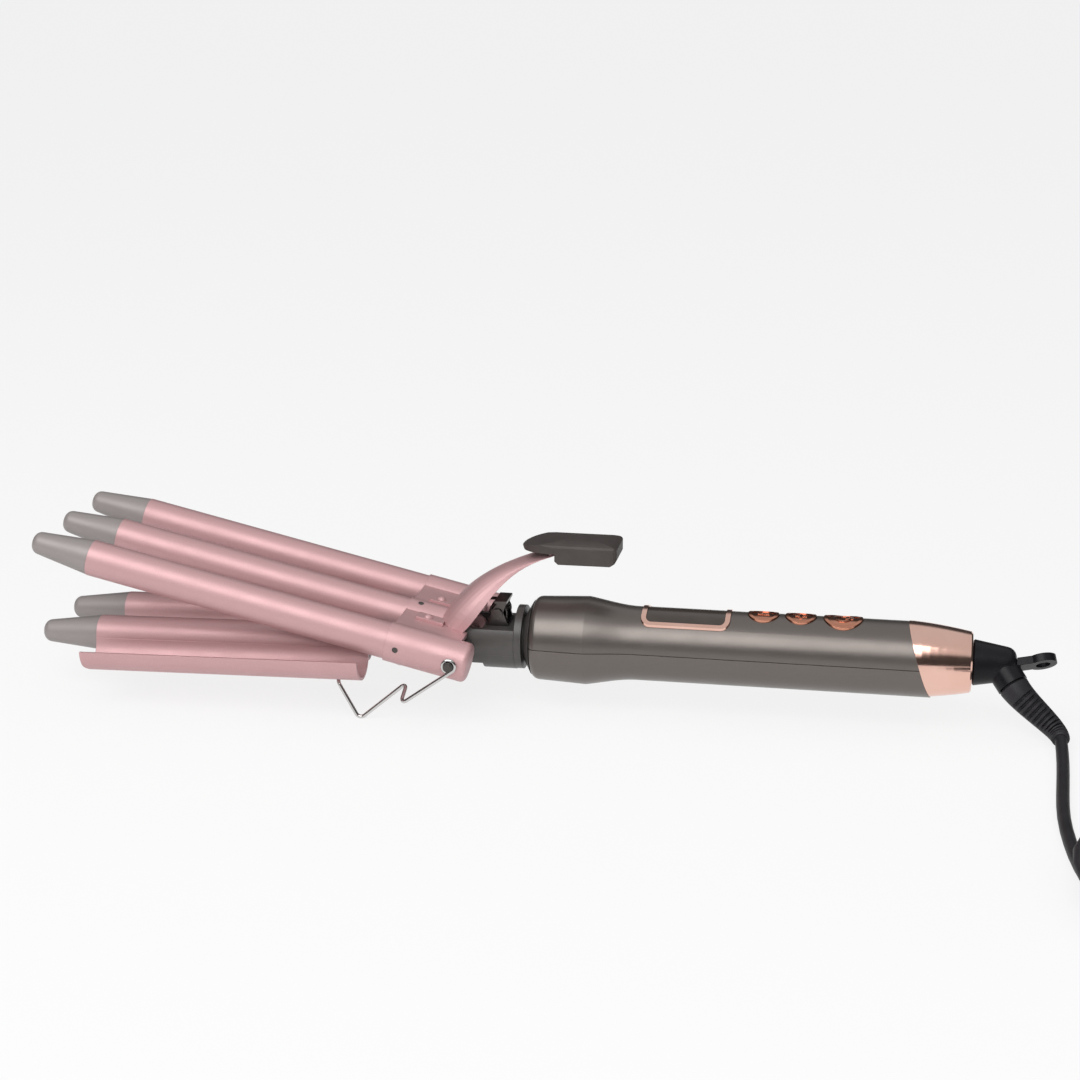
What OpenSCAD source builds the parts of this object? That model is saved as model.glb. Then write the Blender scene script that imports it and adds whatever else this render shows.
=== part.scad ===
// Five-barrel hair waver, lying open on its wire stand with its lead laid out beside it.
// Three heated barrels on a hinged upper jaw close between and beside two heated barrels
// and two hair troughs on the lower jaw, which is fixed to the handle.
// +X runs along the handle towards the lead, +Z is up and the surface it rests on is z = 0.

/* [Jaws] */
// Angle that the open upper jaw stands above the handle's axis
jaw_open_angle = 12.9; // [8:0.1:14]
// Angle that the fixed lower jaw droops below the handle's axis
lower_droop = 1.2; // [0:0.1:2]
// Distance from the hinge to the seam where the barrels meet their caps
jaw_reach = 144; // [135:1:155]
// Distance between neighbouring barrels of the upper jaw
barrel_pitch = 31; // [30:0.5:33]
// Distance from the hinge to the rear end of the lower barrels
lower_root = 36.5; // [36:0.5:40]

/* [Barrels] */
// Outside diameter of a heated barrel
barrel_d = 13.8; // [13:0.1:14]
// Wall of a heated barrel
barrel_wall = 0.9; // [0.6:0.1:1.4]
// Length of a cool tip cap in front of its seam
cap_length = 23.5; // [18:0.5:26]
// Half angle of a tip cap's taper
cap_taper = 7; // [4:0.5:9]
// Radius of a tip cap's rounded nose
cap_nose_r = 3; // [1.5:0.5:3.5]
// Depth that a cap's plug goes into its barrel
cap_plug = 8; // [5:0.5:12]

/* [Hair troughs] */
// Inside radius of a trough
trough_r = 8.4; // [8:0.1:8.8]
// Sheet that the troughs are pressed from
trough_sheet = 1; // [0.8:0.1:1.2]
// Distance from the hinge to the rear end of the troughs
trough_back = 35; // [33:0.5:40]

/* [Upper socket base] */
// Distance from the hinge to the front edge of the sockets
socket_front = 25.5; // [22:0.5:26.5]
// Outside diameter of a socket
socket_d = 15; // [14.8:0.1:15.2]
// Length that the outer sockets run on behind the hinge
socket_back = 6.4; // [5:0.1:7]
// Distance from the hinge to the rear end of the middle socket
socket_mid_back = 8; // [7.5:0.1:9]
// Rounding of a socket's rear end
socket_round = 2; // [1:0.1:3]
// Depth behind the front edge at which a barrel stops in its socket
barrel_stop = 15; // [12:0.5:16]
// Height of the bridge plate's underside above the barrel axes
bridge_low = 2.5; // [2.2:0.1:3]
// Thickness of the bridge plate
bridge_t = 2.4; // [2:0.1:3]

/* [Hinge] */
// Distance from the handle's front face to the jaw hinge
hinge_setback = 25; // [24.5:0.1:25.5]
// Diameter of the hinge pin
hinge_pin_d = 4; // [3:0.1:5]
// Radius of the hinge ears
ear_r = 5.4; // [4.6:0.1:5.6]
// Thickness of a hinge ear
ear_t = 2.4; // [2:0.1:3]
// Width of the slot for the ears between the neck's cheeks
slot_w = 18; // [17.6:0.1:18.6]

/* [Lever and thumb pad] */
// Sheet that the lever is pressed from
lever_sheet = 1.2; // [1:0.1:1.6]
// Width of the lever at its foot
lever_foot_w = 29; // [27.6:0.2:30]
// Width of the lever under the thumb pad
lever_top_w = 17; // [15:0.5:18]
// Diameter of the lever's rivets
rivet_d = 2.6; // [2:0.1:3]
// Length of the thumb pad
pad_l = 37.2; // [36:0.2:41]
// Width of the thumb pad
pad_w = 19; // [18:0.5:22]
// Height of the thumb pad's body
pad_h = 8.6; // [7.5:0.1:9.5]
// Wall of the thumb pad
pad_wall = 1.6; // [1.2:0.1:2]

/* [Neck] */
// Diameter of the neck block
neck_d = 25; // [24:0.5:25.5]
// Height of the neck's flat top above the axis
neck_flat = 5.6; // [5:0.1:6]
// Height of the seam between the neck block and the lower base
neck_seam = -4.6; // [-5.5:0.1:-4]
// Diameter of the spigot that carries the neck in the handle
spigot_d = 17.2; // [15:0.1:18]
// Diameter of the wire bore through the neck
neck_bore_d = 7; // [5:0.1:8]
// Depth of the spigot inside the handle
spigot_depth = 14; // [10:0.5:20]

/* [Jaw spring] */
// Wire of the torsion spring
spring_wire = 1.3; // [1:0.1:1.4]
// Mean radius of the spring's curls
spring_r = 3.2; // [2.8:0.1:3.4]
// Curls of the spring
spring_curls = 4; // [3:1:4]
// Distance between neighbouring curls
spring_pitch = 1.75; // [1.75:0.01:1.8]
// Sheet of the spring bracket
bracket_t = 1; // [0.8:0.1:1.2]

/* [Handle] */
// Length of the handle's shells along the top, up to the end collar
handle_top_l = 142; // [138:0.5:146]
// Distance that the collar's front edge slants back from top to bottom
collar_slant = 9; // [4:0.5:12]
// Diameter at the handle's front edge
handle_front_d = 32.2; // [31.5:0.1:33]
// Largest diameter, at the crease ring
handle_max_d = 33.8; // [33.2:0.1:35]
// Distance from the front to the crease ring
crease_x = 20.6; // [18:0.1:22]
// Diameter of the grip
grip_d = 28.2; // [27.8:0.1:29]
// Wall of the handle's shells
shell_wall = 2; // [1.6:0.1:2.4]
// Distance from the front to the point where the grip starts
grip_x = 40.5; // [38:0.5:43]

/* [Controls] */
// Centre of the display along the handle
display_x = 59; // [58.5:0.5:62]
// Length of the display bezel
bezel_l = 33.5; // [32:0.5:36]
// Width of the display bezel seen from above
bezel_w = 20; // [19:0.2:21.4]
// Rim of the bezel at the window's ends
bezel_rim = 1.9; // [1.6:0.1:2.6]
// Rim of the bezel along the window's sides
bezel_side_rim = 1.2; // [1.1:0.1:1.8]
// Height that the bezel stands proud of the grip
bezel_proud = 0.6; // [0.3:0.1:1]
// Diameter of the plus and minus buttons
small_button_d = 11.6; // [11:0.1:11.8]
// Diameter of the power button
power_button_d = 14.6; // [14:0.1:14.8]
// Centres of the minus, plus and power buttons along the handle
minus_x = 87.8; // [87:0.1:88]
plus_x = 101.8; // [101.6:0.1:102]
power_x = 117.6; // [117.4:0.1:118.4]
// Height that a button stands above the top of the grip
button_proud = 0.6; // [0.4:0.1:1]
// Clearance round a button in its guide
button_clear = 0.12; // [0.08:0.01:0.2]
// Thickness of the control board
board_t = 1.6; // [1:0.1:2]

/* [End collar and tail] */
// Length of the end collar along the top
collar_l = 23.5; // [21:0.5:26]
// Diameter at the rear end of the collar
collar_rear_d = 23; // [22:0.5:24]
// Wall of the collar's rear face
collar_wall = 2; // [1.6:0.1:2.4]
// Diameter of the swivel's neck
swivel_d = 12.2; // [11:0.1:13]
// Running gap between the tail and the collar
tail_gap = 0.3; // [0.2:0.05:0.5]
// Diameter at the front of the tail cone
cone_front_d = 17.2; // [16:0.1:18]
// Diameter at the rear of the tail cone
cone_rear_d = 13; // [12.6:0.1:14]
// Length of the tail cone
cone_l = 14; // [12:0.5:16]
// Turn of the tail about the handle's axis, away from hanging straight down
tail_turn = 38; // [30:1:45]
// Outside radius of the hang loop's ring
loop_r = 5.2; // [4.8:0.1:6]
// Radius of the hang loop's hole
loop_hole_r = 2.7; // [2.3:0.1:3]
// Thickness of the hang loop
loop_t = 3; // [2.4:0.1:3.6]

/* [Stand] */
// Wire of the stand
stand_wire = 1.5; // [1.2:0.1:1.8]
// Drop of the stand's foot corner below the hinge
stand_drop = 26.4; // [25:0.05:28]
// Inside radius of the stand's eyelets
eyelet_r = 1.5; // [1.45:0.05:1.8]

/* [Lead] */
// Diameter of the lead
cord_d = 4.6; // [4.4:0.1:4.7]
// Inside mean radius of the lead's coil
coil_in_r = 19; // [18.5:0.5:20]
// Layers of the coil
coil_layers = 4; // [4:1:4]
// Distance between neighbouring turns and layers of the coil
coil_pitch = 5.05; // [5.05:0.01:5.2]

/* [Plug] */
// Diameter of a plug pin
pin_d = 4; // [3.8:0.1:4.2]
// Length of a plug pin outside the plug
pin_l = 19; // [17:0.5:20]
// Distance between the plug's pins
pin_pitch = 19; // [17.5:0.1:19.5]
// Width of the plug at its face
plug_w = 33; // [31:0.5:36]
// Thickness of the plug
plug_t = 13.7; // [12:0.1:14]
// Length of the plug's body
plug_l = 26; // [22:0.5:30]

/* [Hidden] */
$fn = 64;
pink = [0.80, 0.56, 0.57];
taupe = [0.42, 0.41, 0.40];
grey = [0.30, 0.29, 0.30];
black = [0.08, 0.08, 0.09];
copper = [0.84, 0.52, 0.40];
chrome = [0.80, 0.80, 0.82];
steel = [0.62, 0.63, 0.65];
board_green = [0.10, 0.35, 0.20];
ceramic = [0.90, 0.88, 0.82];
glass_black = [0.05, 0.03, 0.04];

// Clearances that the fits share
seat_gap = 0.05;
pin_gap = 0.05;
soft_gap = 0.3;

barrel_r = barrel_d / 2;
bore_r = barrel_r - barrel_wall;
socket_r = socket_d / 2;
bridge_top = bridge_low + bridge_t;
outer_y = barrel_pitch;

function unit(v) = v / norm(v);

// The stand's wire, as a route about the hinge
stand_rivet_r = eyelet_r - 0.1;
stand_y = outer_y + socket_r + soft_gap + stand_wire / 2;
stand_in_y = outer_y;
eyelet_ring_r = eyelet_r + stand_wire / 2;
stand_bend_r = 2;
// Corners of the wire from its eyelet to the crossbar: points [x from the hinge, y, z]
leg_tilt = 37.2;
stand_corners = [
    [eyelet_ring_r * sin(leg_tilt), stand_y, -eyelet_ring_r * cos(leg_tilt)], [-18.6, stand_y, -16.2],
    [-17.8, stand_in_y, -10.2], [-36.7, stand_in_y, -stand_drop], [-45, stand_in_y, -11.5], [-45, 0, -11.5]
];
// Points of a rounded corner b between a and c
function bend(a, b, c, r) =
    let (p = unit(a - b), q = unit(c - b), half = acos(p * q) / 2, reach = r / tan(half),
         centre = b + unit(p + q) * r / sin(half), from = b + p * reach - centre, to = b + q * reach - centre,
         turn = 180 - 2 * half, n = max(2, ceil(turn / 30)))
    [for (i = [0:n]) let (t = turn * i / n) centre + (from * sin(turn - t) + to * sin(t)) / sin(turn)];
eyelet_steps = 14;
// The eyelet turns 300 degrees and leaves along the leg
function eyelet_points() = [for (i = [0:eyelet_steps - 1]) let (a = leg_tilt + 210 - 300 * i / eyelet_steps)
    [eyelet_ring_r * cos(a), stand_y, eyelet_ring_r * sin(a)]];
function half_stand() = concat(eyelet_points(), [stand_corners[0]],
    [for (i = [1:len(stand_corners) - 2])
        each bend(stand_corners[i - 1], stand_corners[i], stand_corners[i + 1], stand_bend_r)]);
function across(p) = [p[0], -p[1], p[2]];
stand_route = let (near = half_stand(), n = len(near)) concat(near, [for (i = [n - 1:-1:0]) across(near[i])]);

// The stand's foot sets the height of the handle's axis above the surface
axis_height = stand_wire / 2 - min([for (p = stand_route) p[2]]);
lower_y = barrel_pitch / 2;
ear_out = slot_w / 2 - 0.4;
ear_in = ear_out - ear_t;
plate_in = 13;
neck_r = neck_d / 2;
grip_r = grip_d / 2;
handle_front_r = handle_front_d / 2;
handle_max_r = handle_max_d / 2;
tip_x = -hinge_setback - (jaw_reach + cap_length) * cos(lower_droop);

// Rear end of the part, at the tip of the hang loop
collar_end = handle_top_l + collar_l;
cone_x = collar_end + tail_gap;
loop_x = cone_x + cone_l + 11.3;
loop_rise = 12;
loop_tip = loop_x + loop_r;
// The origin is below the middle of the device, without its lead
origin_x = (tip_x + loop_tip) / 2;

// ---- Frames -------------------------------------------------------------------------------

// Device frame (x = 0 at the handle's front face, z = 0 on its axis) to the part's own frame
module placed() {
    translate([-origin_x, 0, axis_height]) children();
}

// Upper jaw frame: origin on the hinge, barrels along -x
module in_upper_jaw() {
    placed() translate([-hinge_setback, 0, 0]) rotate([0, jaw_open_angle, 0]) children();
}

// Lower jaw frame: origin on the hinge, barrels along -x
module in_lower_jaw() {
    placed() translate([-hinge_setback, 0, 0]) rotate([0, -lower_droop, 0]) children();
}

// Tail frame: turned about the handle's axis
module in_tail() {
    placed() rotate([-tail_turn, 0, 0]) children();
}

// ---- Shapes that repeat -------------------------------------------------------------------

// Rod along x
module rod_x(x0, x1, r) {
    translate([x0, 0, 0]) rotate([0, 90, 0]) cylinder(h = x1 - x0, r = r);
}

// Rod along y, centred
module rod_y(length, r) {
    rotate([90, 0, 0]) cylinder(h = length, r = r, center = true);
}

// Solid turned about x from points [x, radius]
module turned_x(points) {
    rotate([0, 90, 0]) rotate_extrude() polygon([for (p = points) [p[1], p[0]]]);
}

// Plate of an outline in x and z, from y0 to y1
module slab_y(y0, y1) {
    translate([0, y1, 0]) rotate([90, 0, 0]) linear_extrude(y1 - y0) children();
}

// Prism of an outline in y and z, from x0 to x1
module slab_x(x0, x1) {
    translate([x0, 0, 0]) rotate([90, 0, 90]) linear_extrude(x1 - x0) children();
}

// Box given by its two corners
module block(low, high) {
    translate(low) cube(high - low);
}

// Rectangle with rounded corners
module rounded_rect(length, width, r) {
    a = length / 2 - r;
    b = width / 2 - r;
    polygon(concat(arc(a, b, r, 0, 90, 5), arc(-a, b, r, 90, 180, 5), arc(-a, -b, r, 180, 270, 5),
        arc(a, -b, r, 270, 360, 5)));
}

// Rectangle with its corners cut off at 45 degrees
module octagon_rect(length, width, cut) {
    a = length / 2;
    b = width / 2;
    polygon([[-a + cut, -b], [a - cut, -b], [a, -b + cut], [a, b - cut],
             [a - cut, b], [-a + cut, b], [-a, b - cut], [-a, -b + cut]]);
}

// Point at t on a cubic curve with four control points
function curve(c, t) =
    pow(1 - t, 3) * c[0] + 3 * t * pow(1 - t, 2) * c[1] + 3 * t * t * (1 - t) * c[2] + pow(t, 3) * c[3];
function curve_points(c, steps) = [for (i = [0:steps]) curve(c, i / steps)];
// Points of an arc about a centre
function arc(cx, cy, r, a0, a1, steps) =
    [for (i = [0:steps]) let (a = a0 + (a1 - a0) * i / steps) [cx + r * cos(a), cy + r * sin(a)]];

// Tube swept along points with a radius at each one: a closed skin of rings
function along(path, i) = unit(path[min(i + 1, len(path) - 1)] - path[max(i - 1, 0)]);
// Side direction carried from ring to ring without twist
function sides_from(path, i, side) =
    let (d = along(path, i), s = unit(side - (side * d) * d))
    i == len(path) - 1 ? [s] : concat([s], sides_from(path, i + 1, s));
function ring(centre, d, side, r, sides) =
    let (up = cross(d, side))
    [for (k = [0:sides - 1]) let (a = 360 * k / sides) centre + r * (cos(a) * side + sin(a) * up)];
module swept(path, radii, sides, first_side) {
    n = len(path);
    side = sides_from(path, 0, first_side);
    points = [for (i = [0:n - 1]) each ring(path[i], along(path, i), side[i], radii[i], sides)];
    skin = [for (i = [0:n - 2]) for (k = [0:sides - 1])
        let (a = i * sides + k, b = i * sides + (k + 1) % sides)
        each [[a, a + sides, b], [b, a + sides, b + sides]]];
    start = [for (k = [1:sides - 2]) [0, k, k + 1]];
    last = (n - 1) * sides;
    end = [for (k = [1:sides - 2]) [last, last + k + 1, last + k]];
    polyhedron(points, concat(skin, start, end));
}

// ---- Handle -------------------------------------------------------------------------------

front_round = 3.2;
taper_x = crease_x + 0.6;
taper_lead = 0.9;
taper_steps = 12;
// Radius of the handle along its taper, between the crease ring and the grip
function taper_r(x) = let (t = (x - taper_x) / (grip_x - taper_x))
    grip_r + (handle_max_r - grip_r) * pow(1 - t, 2) * (1 + taper_lead * t);
// Handle's outline as [x, radius], drawn in by a wall
function handle_outline(wall) = concat(
    [for (p = arc(front_round, handle_front_r - front_round, front_round - wall, 180, 90, 6)) p],
    [[crease_x, handle_max_r - wall]],
    [for (i = [0:taper_steps]) let (x = taper_x + (grip_x - taper_x) * i / taper_steps) [x, taper_r(x) - wall]]
);
spigot_r = spigot_d / 2;
// The shells run on into the collar as a thinner tongue
tongue_l = 12;
collar_bore_r = 11.7;
tongue_r = collar_bore_r - seat_gap;
tongue_wall = 1.4;
shell_end = handle_top_l + collar_slant + tongue_l;

// Everything in front of the collar's slanting front edge, on the handle's side
module before_slant(gap) {
    slab_y(-30, 30) polygon([[-60, 30], [handle_top_l - gap - collar_slant * (30 - grip_r) / grip_d, 30],
        [handle_top_l - gap + collar_slant * (grip_r + 30) / grip_d, -30], [-60, -30]]);
}

module handle_body() {
    intersection() {
        turned_x(concat([[0, 0], [0, handle_front_r - front_round]], handle_outline(0),
            [[shell_end, grip_r], [shell_end, 0]]));
        before_slant(0);
    }
    rod_x(handle_top_l - 20, shell_end, tongue_r);
}

module handle_hollow() {
    front_wall = 2.6;
    turned_x(concat([[front_wall, 0], [front_wall, handle_front_r - front_round]],
        [for (p = handle_outline(shell_wall)) if (p[0] > front_wall + 0.1) p],
        [[handle_top_l - 8, grip_r - shell_wall], [handle_top_l - 4, tongue_r - tongue_wall],
         [shell_end + 1, tongue_r - tongue_wall], [shell_end + 1, 0]]));
    rod_x(-1, front_wall + 1, spigot_r + seat_gap);
}

// Groove along the seam between the shells
seam_half = 0.15;
seam_depth = 0.45;
module seam_groove() {
    difference() {
        block([-1, -40, -seam_half], [shell_end, 40, seam_half]);
        turned_x(concat([[seam_depth, 0]], handle_outline(seam_depth),
            [[shell_end + 1, grip_r - seam_depth], [shell_end + 1, 0]]));
    }
}

// Screws through the lower shell: places along the handle
screw_xs = [31, 131];
screw_r = 1.2;
screw_boss_r = 3.2;
screw_head_r = 2.4;
screw_seat = -9;
boss_top = 7;

board_z = 1.2;
board_x0 = 40;
board_x1 = 125;
board_half_w = 10;
guide_low = board_z + board_t + 5.6;
guide_wall = 1.4;
flange_t = 0.8;
flange_over = 0.9;
flange_gap = 0.2;
button_crown = 0.7;

buttons = [[minus_x, small_button_d / 2], [plus_x, small_button_d / 2], [power_x, power_button_d / 2]];

module shell_bosses() {
    for (x = screw_xs) translate([x, 0, -20]) cylinder(h = 40, r = screw_boss_r);
    // Guides round the buttons
    for (b = buttons) translate([b[0], 0, guide_low]) cylinder(h = grip_r, r = b[1] + button_clear + guide_wall);
    // Rails that the control board is screwed up against
    for (s = [-1, 1]) block([board_x0, min(s * 7, s * 9), board_z + board_t], [board_x0 + 3.8, max(s * 7, s * 9), grip_r]);
    for (s = [-1, 1]) block([board_x1 - 2.6, min(s * 7, s * 9), board_z + board_t], [board_x1, max(s * 7, s * 9), grip_r]);
}

module handle_solid() {
    difference() {
        handle_body();
        handle_hollow();
    }
    intersection() {
        shell_bosses();
        turned_x(concat([[3, 0]], [for (p = handle_outline(0.6)) if (p[0] > 4) p],
            [[handle_top_l, grip_r - 0.6], [handle_top_l, 0]]));
    }
}

module handle_upper_shell() {
    color(taupe) placed() difference() {
        handle_solid();
        block([-10, -40, -40], [shell_end + 10, 40, 0]);
        // Display opening
        translate([display_x, 0, 0]) linear_extrude(40)
            rounded_rect(bezel_l + 2 * seat_gap, bezel_w + 2 * seat_gap, bezel_corner);
        for (b = buttons) translate([b[0], 0, 0]) cylinder(h = 40, r = b[1] + button_clear);
        for (x = screw_xs) translate([x, 0, -1]) cylinder(h = boss_top - 1, r = screw_r + 0.02);
        seam_groove();
    }
}

module handle_lower_shell() {
    color(taupe) placed() difference() {
        handle_solid();
        block([-10, -40, 0], [shell_end + 10, 40, 40]);
        seam_groove();
        for (x = screw_xs) translate([x, 0, -40]) {
            cylinder(h = 60, r = screw_r + 0.2);
            cylinder(h = 40 + screw_seat, r = screw_head_r + 0.3);
        }
    }
}

module shell_screws() {
    color(steel) placed() for (x = screw_xs) translate([x, 0, 0]) {
        translate([0, 0, screw_seat]) cylinder(h = boss_top - 3 - screw_seat, r = screw_r);
        translate([0, 0, screw_seat - 1.6]) cylinder(h = 1.6, r = screw_head_r);
    }
}

// ---- Controls -----------------------------------------------------------------------------

bezel_corner = 3.2;
window_corner = 2;
bezel_top_r = grip_r + bezel_proud;
bezel_low_r = grip_r - shell_wall;
window_top_r = grip_r + 0.1;
window_low_r = grip_r - 1.1;
window_l = bezel_l - 2 * bezel_rim;
window_w = bezel_w - 2 * bezel_side_rim;

// Curved sheet between two radii about the handle's axis, seen from above as an outline
module curved_sheet(low_r, top_r) {
    intersection() {
        difference() {
            rod_x(-40, 40, top_r);
            rod_x(-41, 41, low_r);
        }
        linear_extrude(40) children();
    }
}

module display_bezel() {
    color(copper) placed() translate([display_x, 0, 0]) difference() {
        curved_sheet(bezel_low_r, bezel_top_r) rounded_rect(bezel_l, bezel_w, bezel_corner);
        // Seat for the window, with a narrower opening below it
        intersection() {
            linear_extrude(40) rounded_rect(window_l + 2 * seat_gap, window_w + 2 * seat_gap, window_corner);
            difference() {
                rod_x(-40, 40, 40);
                rod_x(-41, 41, window_low_r);
            }
        }
        linear_extrude(40) rounded_rect(window_l - 3, window_w - 3, window_corner);
    }
}

module display_window() {
    color(glass_black) placed() translate([display_x, 0, 0])
        curved_sheet(window_low_r, window_top_r) rounded_rect(window_l, window_w, window_corner);
}

module display_module() {
    color(ceramic) placed() block([display_x - 12, -5.2, board_z + board_t], [display_x + 12, 5.2, bezel_low_r - 1.8]);
}

module control_board() {
    color(board_green) placed() difference() {
        block([board_x0, -board_half_w, board_z], [board_x1, board_half_w, board_z + board_t]);
        for (x = [board_x0 + 2.5, board_x1 - 2]) for (y = [-8, 8])
            translate([x, y, board_z - 1]) cylinder(h = board_t + 2, r = 0.8);
    }
}

switch_h = 3.4;
switch_half = 3;
module key_switches() {
    color(black) placed() for (b = buttons) {
        block([b[0] - switch_half, -switch_half, board_z + board_t],
              [b[0] + switch_half, switch_half, board_z + board_t + switch_h - 0.8]);
        translate([b[0], 0, board_z + board_t + switch_h - 0.8]) cylinder(h = 0.8, r = 1.7);
    }
}

button_rim = 1.2;
button_dish = 0.5;
button_top_r = grip_r + button_proud;

// Upright body below a cylinder about the handle's axis
module under_round(x, r, low, top_r) {
    intersection() {
        translate([x, 0, low]) cylinder(h = grip_r, r = r);
        rod_x(x - r - 1, x + r + 1, top_r, $fn = 180);
    }
}

// A button: its dished top follows the grip, above a retaining flange and a stem over its switch
module button(x, r) {
    flange_top = guide_low - flange_gap;
    flange_low = flange_top - flange_t;
    translate([x, 0, board_z + board_t + switch_h + 0.7])
        cylinder(h = flange_low - board_z - board_t - switch_h - 0.6, r = 1.8);
    translate([x, 0, flange_low]) cylinder(h = flange_t, r = r + flange_over);
    under_round(x, r, flange_top - 0.1, button_top_r - button_dish);
    difference() {
        under_round(x, r, flange_top - 0.1, button_top_r);
        translate([x, 0, 0]) cylinder(h = 40, r = r - button_rim);
    }
}

icon_top_r = button_top_r - button_dish + 0.35;
icon_low = grip_r - 3;
bar_half = 0.45;

// Raised sign on a button, seen from above as an outline
module sign() {
    intersection() {
        translate([0, 0, icon_low]) linear_extrude(10) children();
        rod_x(80, 130, icon_top_r, $fn = 180);
    }
}

module bar(length, width) {
    square([length, width], center = true);
}

module minus_button() {
    color(copper) placed() {
        button(minus_x, small_button_d / 2);
        sign() translate([minus_x, 0]) bar(4.4, 2 * bar_half);
    }
}

module plus_button() {
    color(copper) placed() {
        button(plus_x, small_button_d / 2);
        sign() translate([plus_x, 0]) {
            bar(4.4, 2 * bar_half);
            bar(2 * bar_half, 4.4);
        }
    }
}

module power_button() {
    color(copper) placed() {
        button(power_x, power_button_d / 2);
        // Generic on and off sign: an open ring with a bar
        sign() translate([power_x, 0]) {
            difference() {
                circle(r = 3.1);
                circle(r = 2.3);
                translate([0, -1.2]) square([5, 2.4]);
            }
            translate([2.2, 0]) bar(2.8, 2 * bar_half);
        }
    }
}

// ---- End collar ---------------------------------------------------------------------------

collar_front_r = grip_r + 0.3;
collar_rear_r = collar_rear_d / 2;
collar_steps = 8;
swivel_r = swivel_d / 2;
// The collar's radius falls away more steeply towards its rear end
function collar_r(f) = collar_front_r - (collar_front_r - collar_rear_r) * pow(f, 1.6);

module end_collar() {
    color(copper) placed() difference() {
        turned_x(concat([[handle_top_l - 1, 0]],
            [for (i = [0:collar_steps]) [handle_top_l - 1 + (collar_l + 1 - 0.6) * i / collar_steps, collar_r(i / collar_steps)]],
            [[collar_end, collar_rear_r - 0.6], [collar_end, 0]]));
        before_slant(0);
        rod_x(handle_top_l - 10, shell_end + 0.1, collar_bore_r);
        rod_x(shell_end, collar_end - collar_wall, 9.2);
        rod_x(collar_end - 10, collar_end + 1, swivel_r + pin_gap);
        // Latch slot underneath
        block([collar_end - 12, -1.6, -20], [collar_end - 10.6, 1.6, -collar_bore_r - 0.6]);
    }
}

carrier_x0 = shell_end - 10;
module contact_carrier() {
    color(black) placed() difference() {
        rod_x(carrier_x0, shell_end - 3, tongue_r - tongue_wall - seat_gap);
        rod_x(carrier_x0 - 1, shell_end, swivel_r - 3.2);
    }
}

wire_r = 0.9;
// Supply wires as points: from the neck to the board round the front screw boss, and from the
// swivel's contacts to the board
function wire_end(x, s, low) = [[x - 2.6 * s, 6, low], [x - 1.3 * s, 6, low + 0.2], [x - 0.5 * s, 6, low + 0.8],
    [x - 0.1 * s, 6, low + 1.5], [x, 6, low + 2.1], [x, 6, board_z - 0.02]];
front_wire = concat([[-3, 1.6, -1.6], [spigot_depth + 1, 1.6, -1.6], [26, 5.4, -1.9]], wire_end(46, 1, -1.9));
rear_wire = concat([[carrier_x0 - 0.02, 6, -1.6]], wire_end(118, -1, -1.6));
module supply_wires() {
    color(black) placed() for (s = [-1, 1], route = [front_wire, rear_wire])
        swept([for (p = route) [p[0], s * p[1], p[2]]], [for (p = route) wire_r], 8, [0, 1, 0]);
}

// ---- Neck ---------------------------------------------------------------------------------

flange_x = -6;
neck_end_x = -3.2;
slot_x = -18.4;
cheek_x = -27;
knuckle_r = 6.4;

// Round neck with its flat top, without the seam
module neck_round() {
    intersection() {
        rod_x(cheek_x, flange_x, neck_r);
        block([-40, -40, -40], [0, 40, neck_flat]);
    }
    rod_x(flange_x, neck_end_x, neck_r - 0.2);
}

// Slot between the cheeks, for the upper jaw's ears
module ear_slot() {
    block([-40, -slot_w / 2, -40], [slot_x, slot_w / 2, 40]);
}

arm_low = -2.8;
arm_top = 1.9;
arm_in = 11.5;
arm_out = 17.5;
arm_back = 3;
plug_len = 12;
root_screw_x = -lower_root - 6;
root_screw_r = 1.2;

module neck_block() {
    color(grey) difference() {
        union() {
            placed() {
                intersection() {
                    neck_round();
                    block([-40, -40, neck_seam], [0, 40, 40]);
                }
                // Cheeks, round about the hinge pin
                intersection() {
                    rod_x(-40, 0, neck_r);
                    translate([-hinge_setback, 0, 0]) rod_y(neck_d, knuckle_r);
                }
                // Spigot into the handle
                rod_x(neck_end_x - 0.1, spigot_depth, spigot_r);
            }
            // Arms that carry the lower barrels on plugs
            in_lower_jaw() for (s = [-1, 1]) {
                block([-lower_root, min(s * arm_in, s * arm_out), arm_low],
                      [arm_back, max(s * arm_in, s * arm_out), arm_top]);
                translate([0, s * lower_y, 0]) difference() {
                    rod_x(-lower_root - plug_len, -lower_root + 0.1, bore_r - seat_gap);
                    rod_x(-lower_root - plug_len - 1, -lower_root, 3.2);
                }
            }
        }
        placed() {
            ear_slot();
            translate([-hinge_setback, 0, 0]) rod_y(2 * arm_out + 2, hinge_pin_d / 2 + pin_gap);
            rod_x(-19, spigot_depth + 1, neck_bore_d / 2);
            for (x = base_screw_xs) translate([x, 0, -20]) cylinder(h = 20 - neck_bore_d / 2 + 0.2, r = screw_r + 0.02);
        }
        in_lower_jaw() for (s = [-1, 1]) translate([root_screw_x, s * lower_y, -20])
            cylinder(h = 20, r = root_screw_r + 0.02);
    }
}

// Dark cone that fills the handle's front opening
module nose_ring() {
    color(black) placed() difference() {
        turned_x([[-2.8, 0], [-2.8, spigot_r + 0.9], [-0.02, handle_front_r - front_round + 1.4], [-0.02, 0]]);
        rod_x(-4, 1, spigot_r + seat_gap);
    }
}

base_screw_xs = [-14.8, -8.9];

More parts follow.
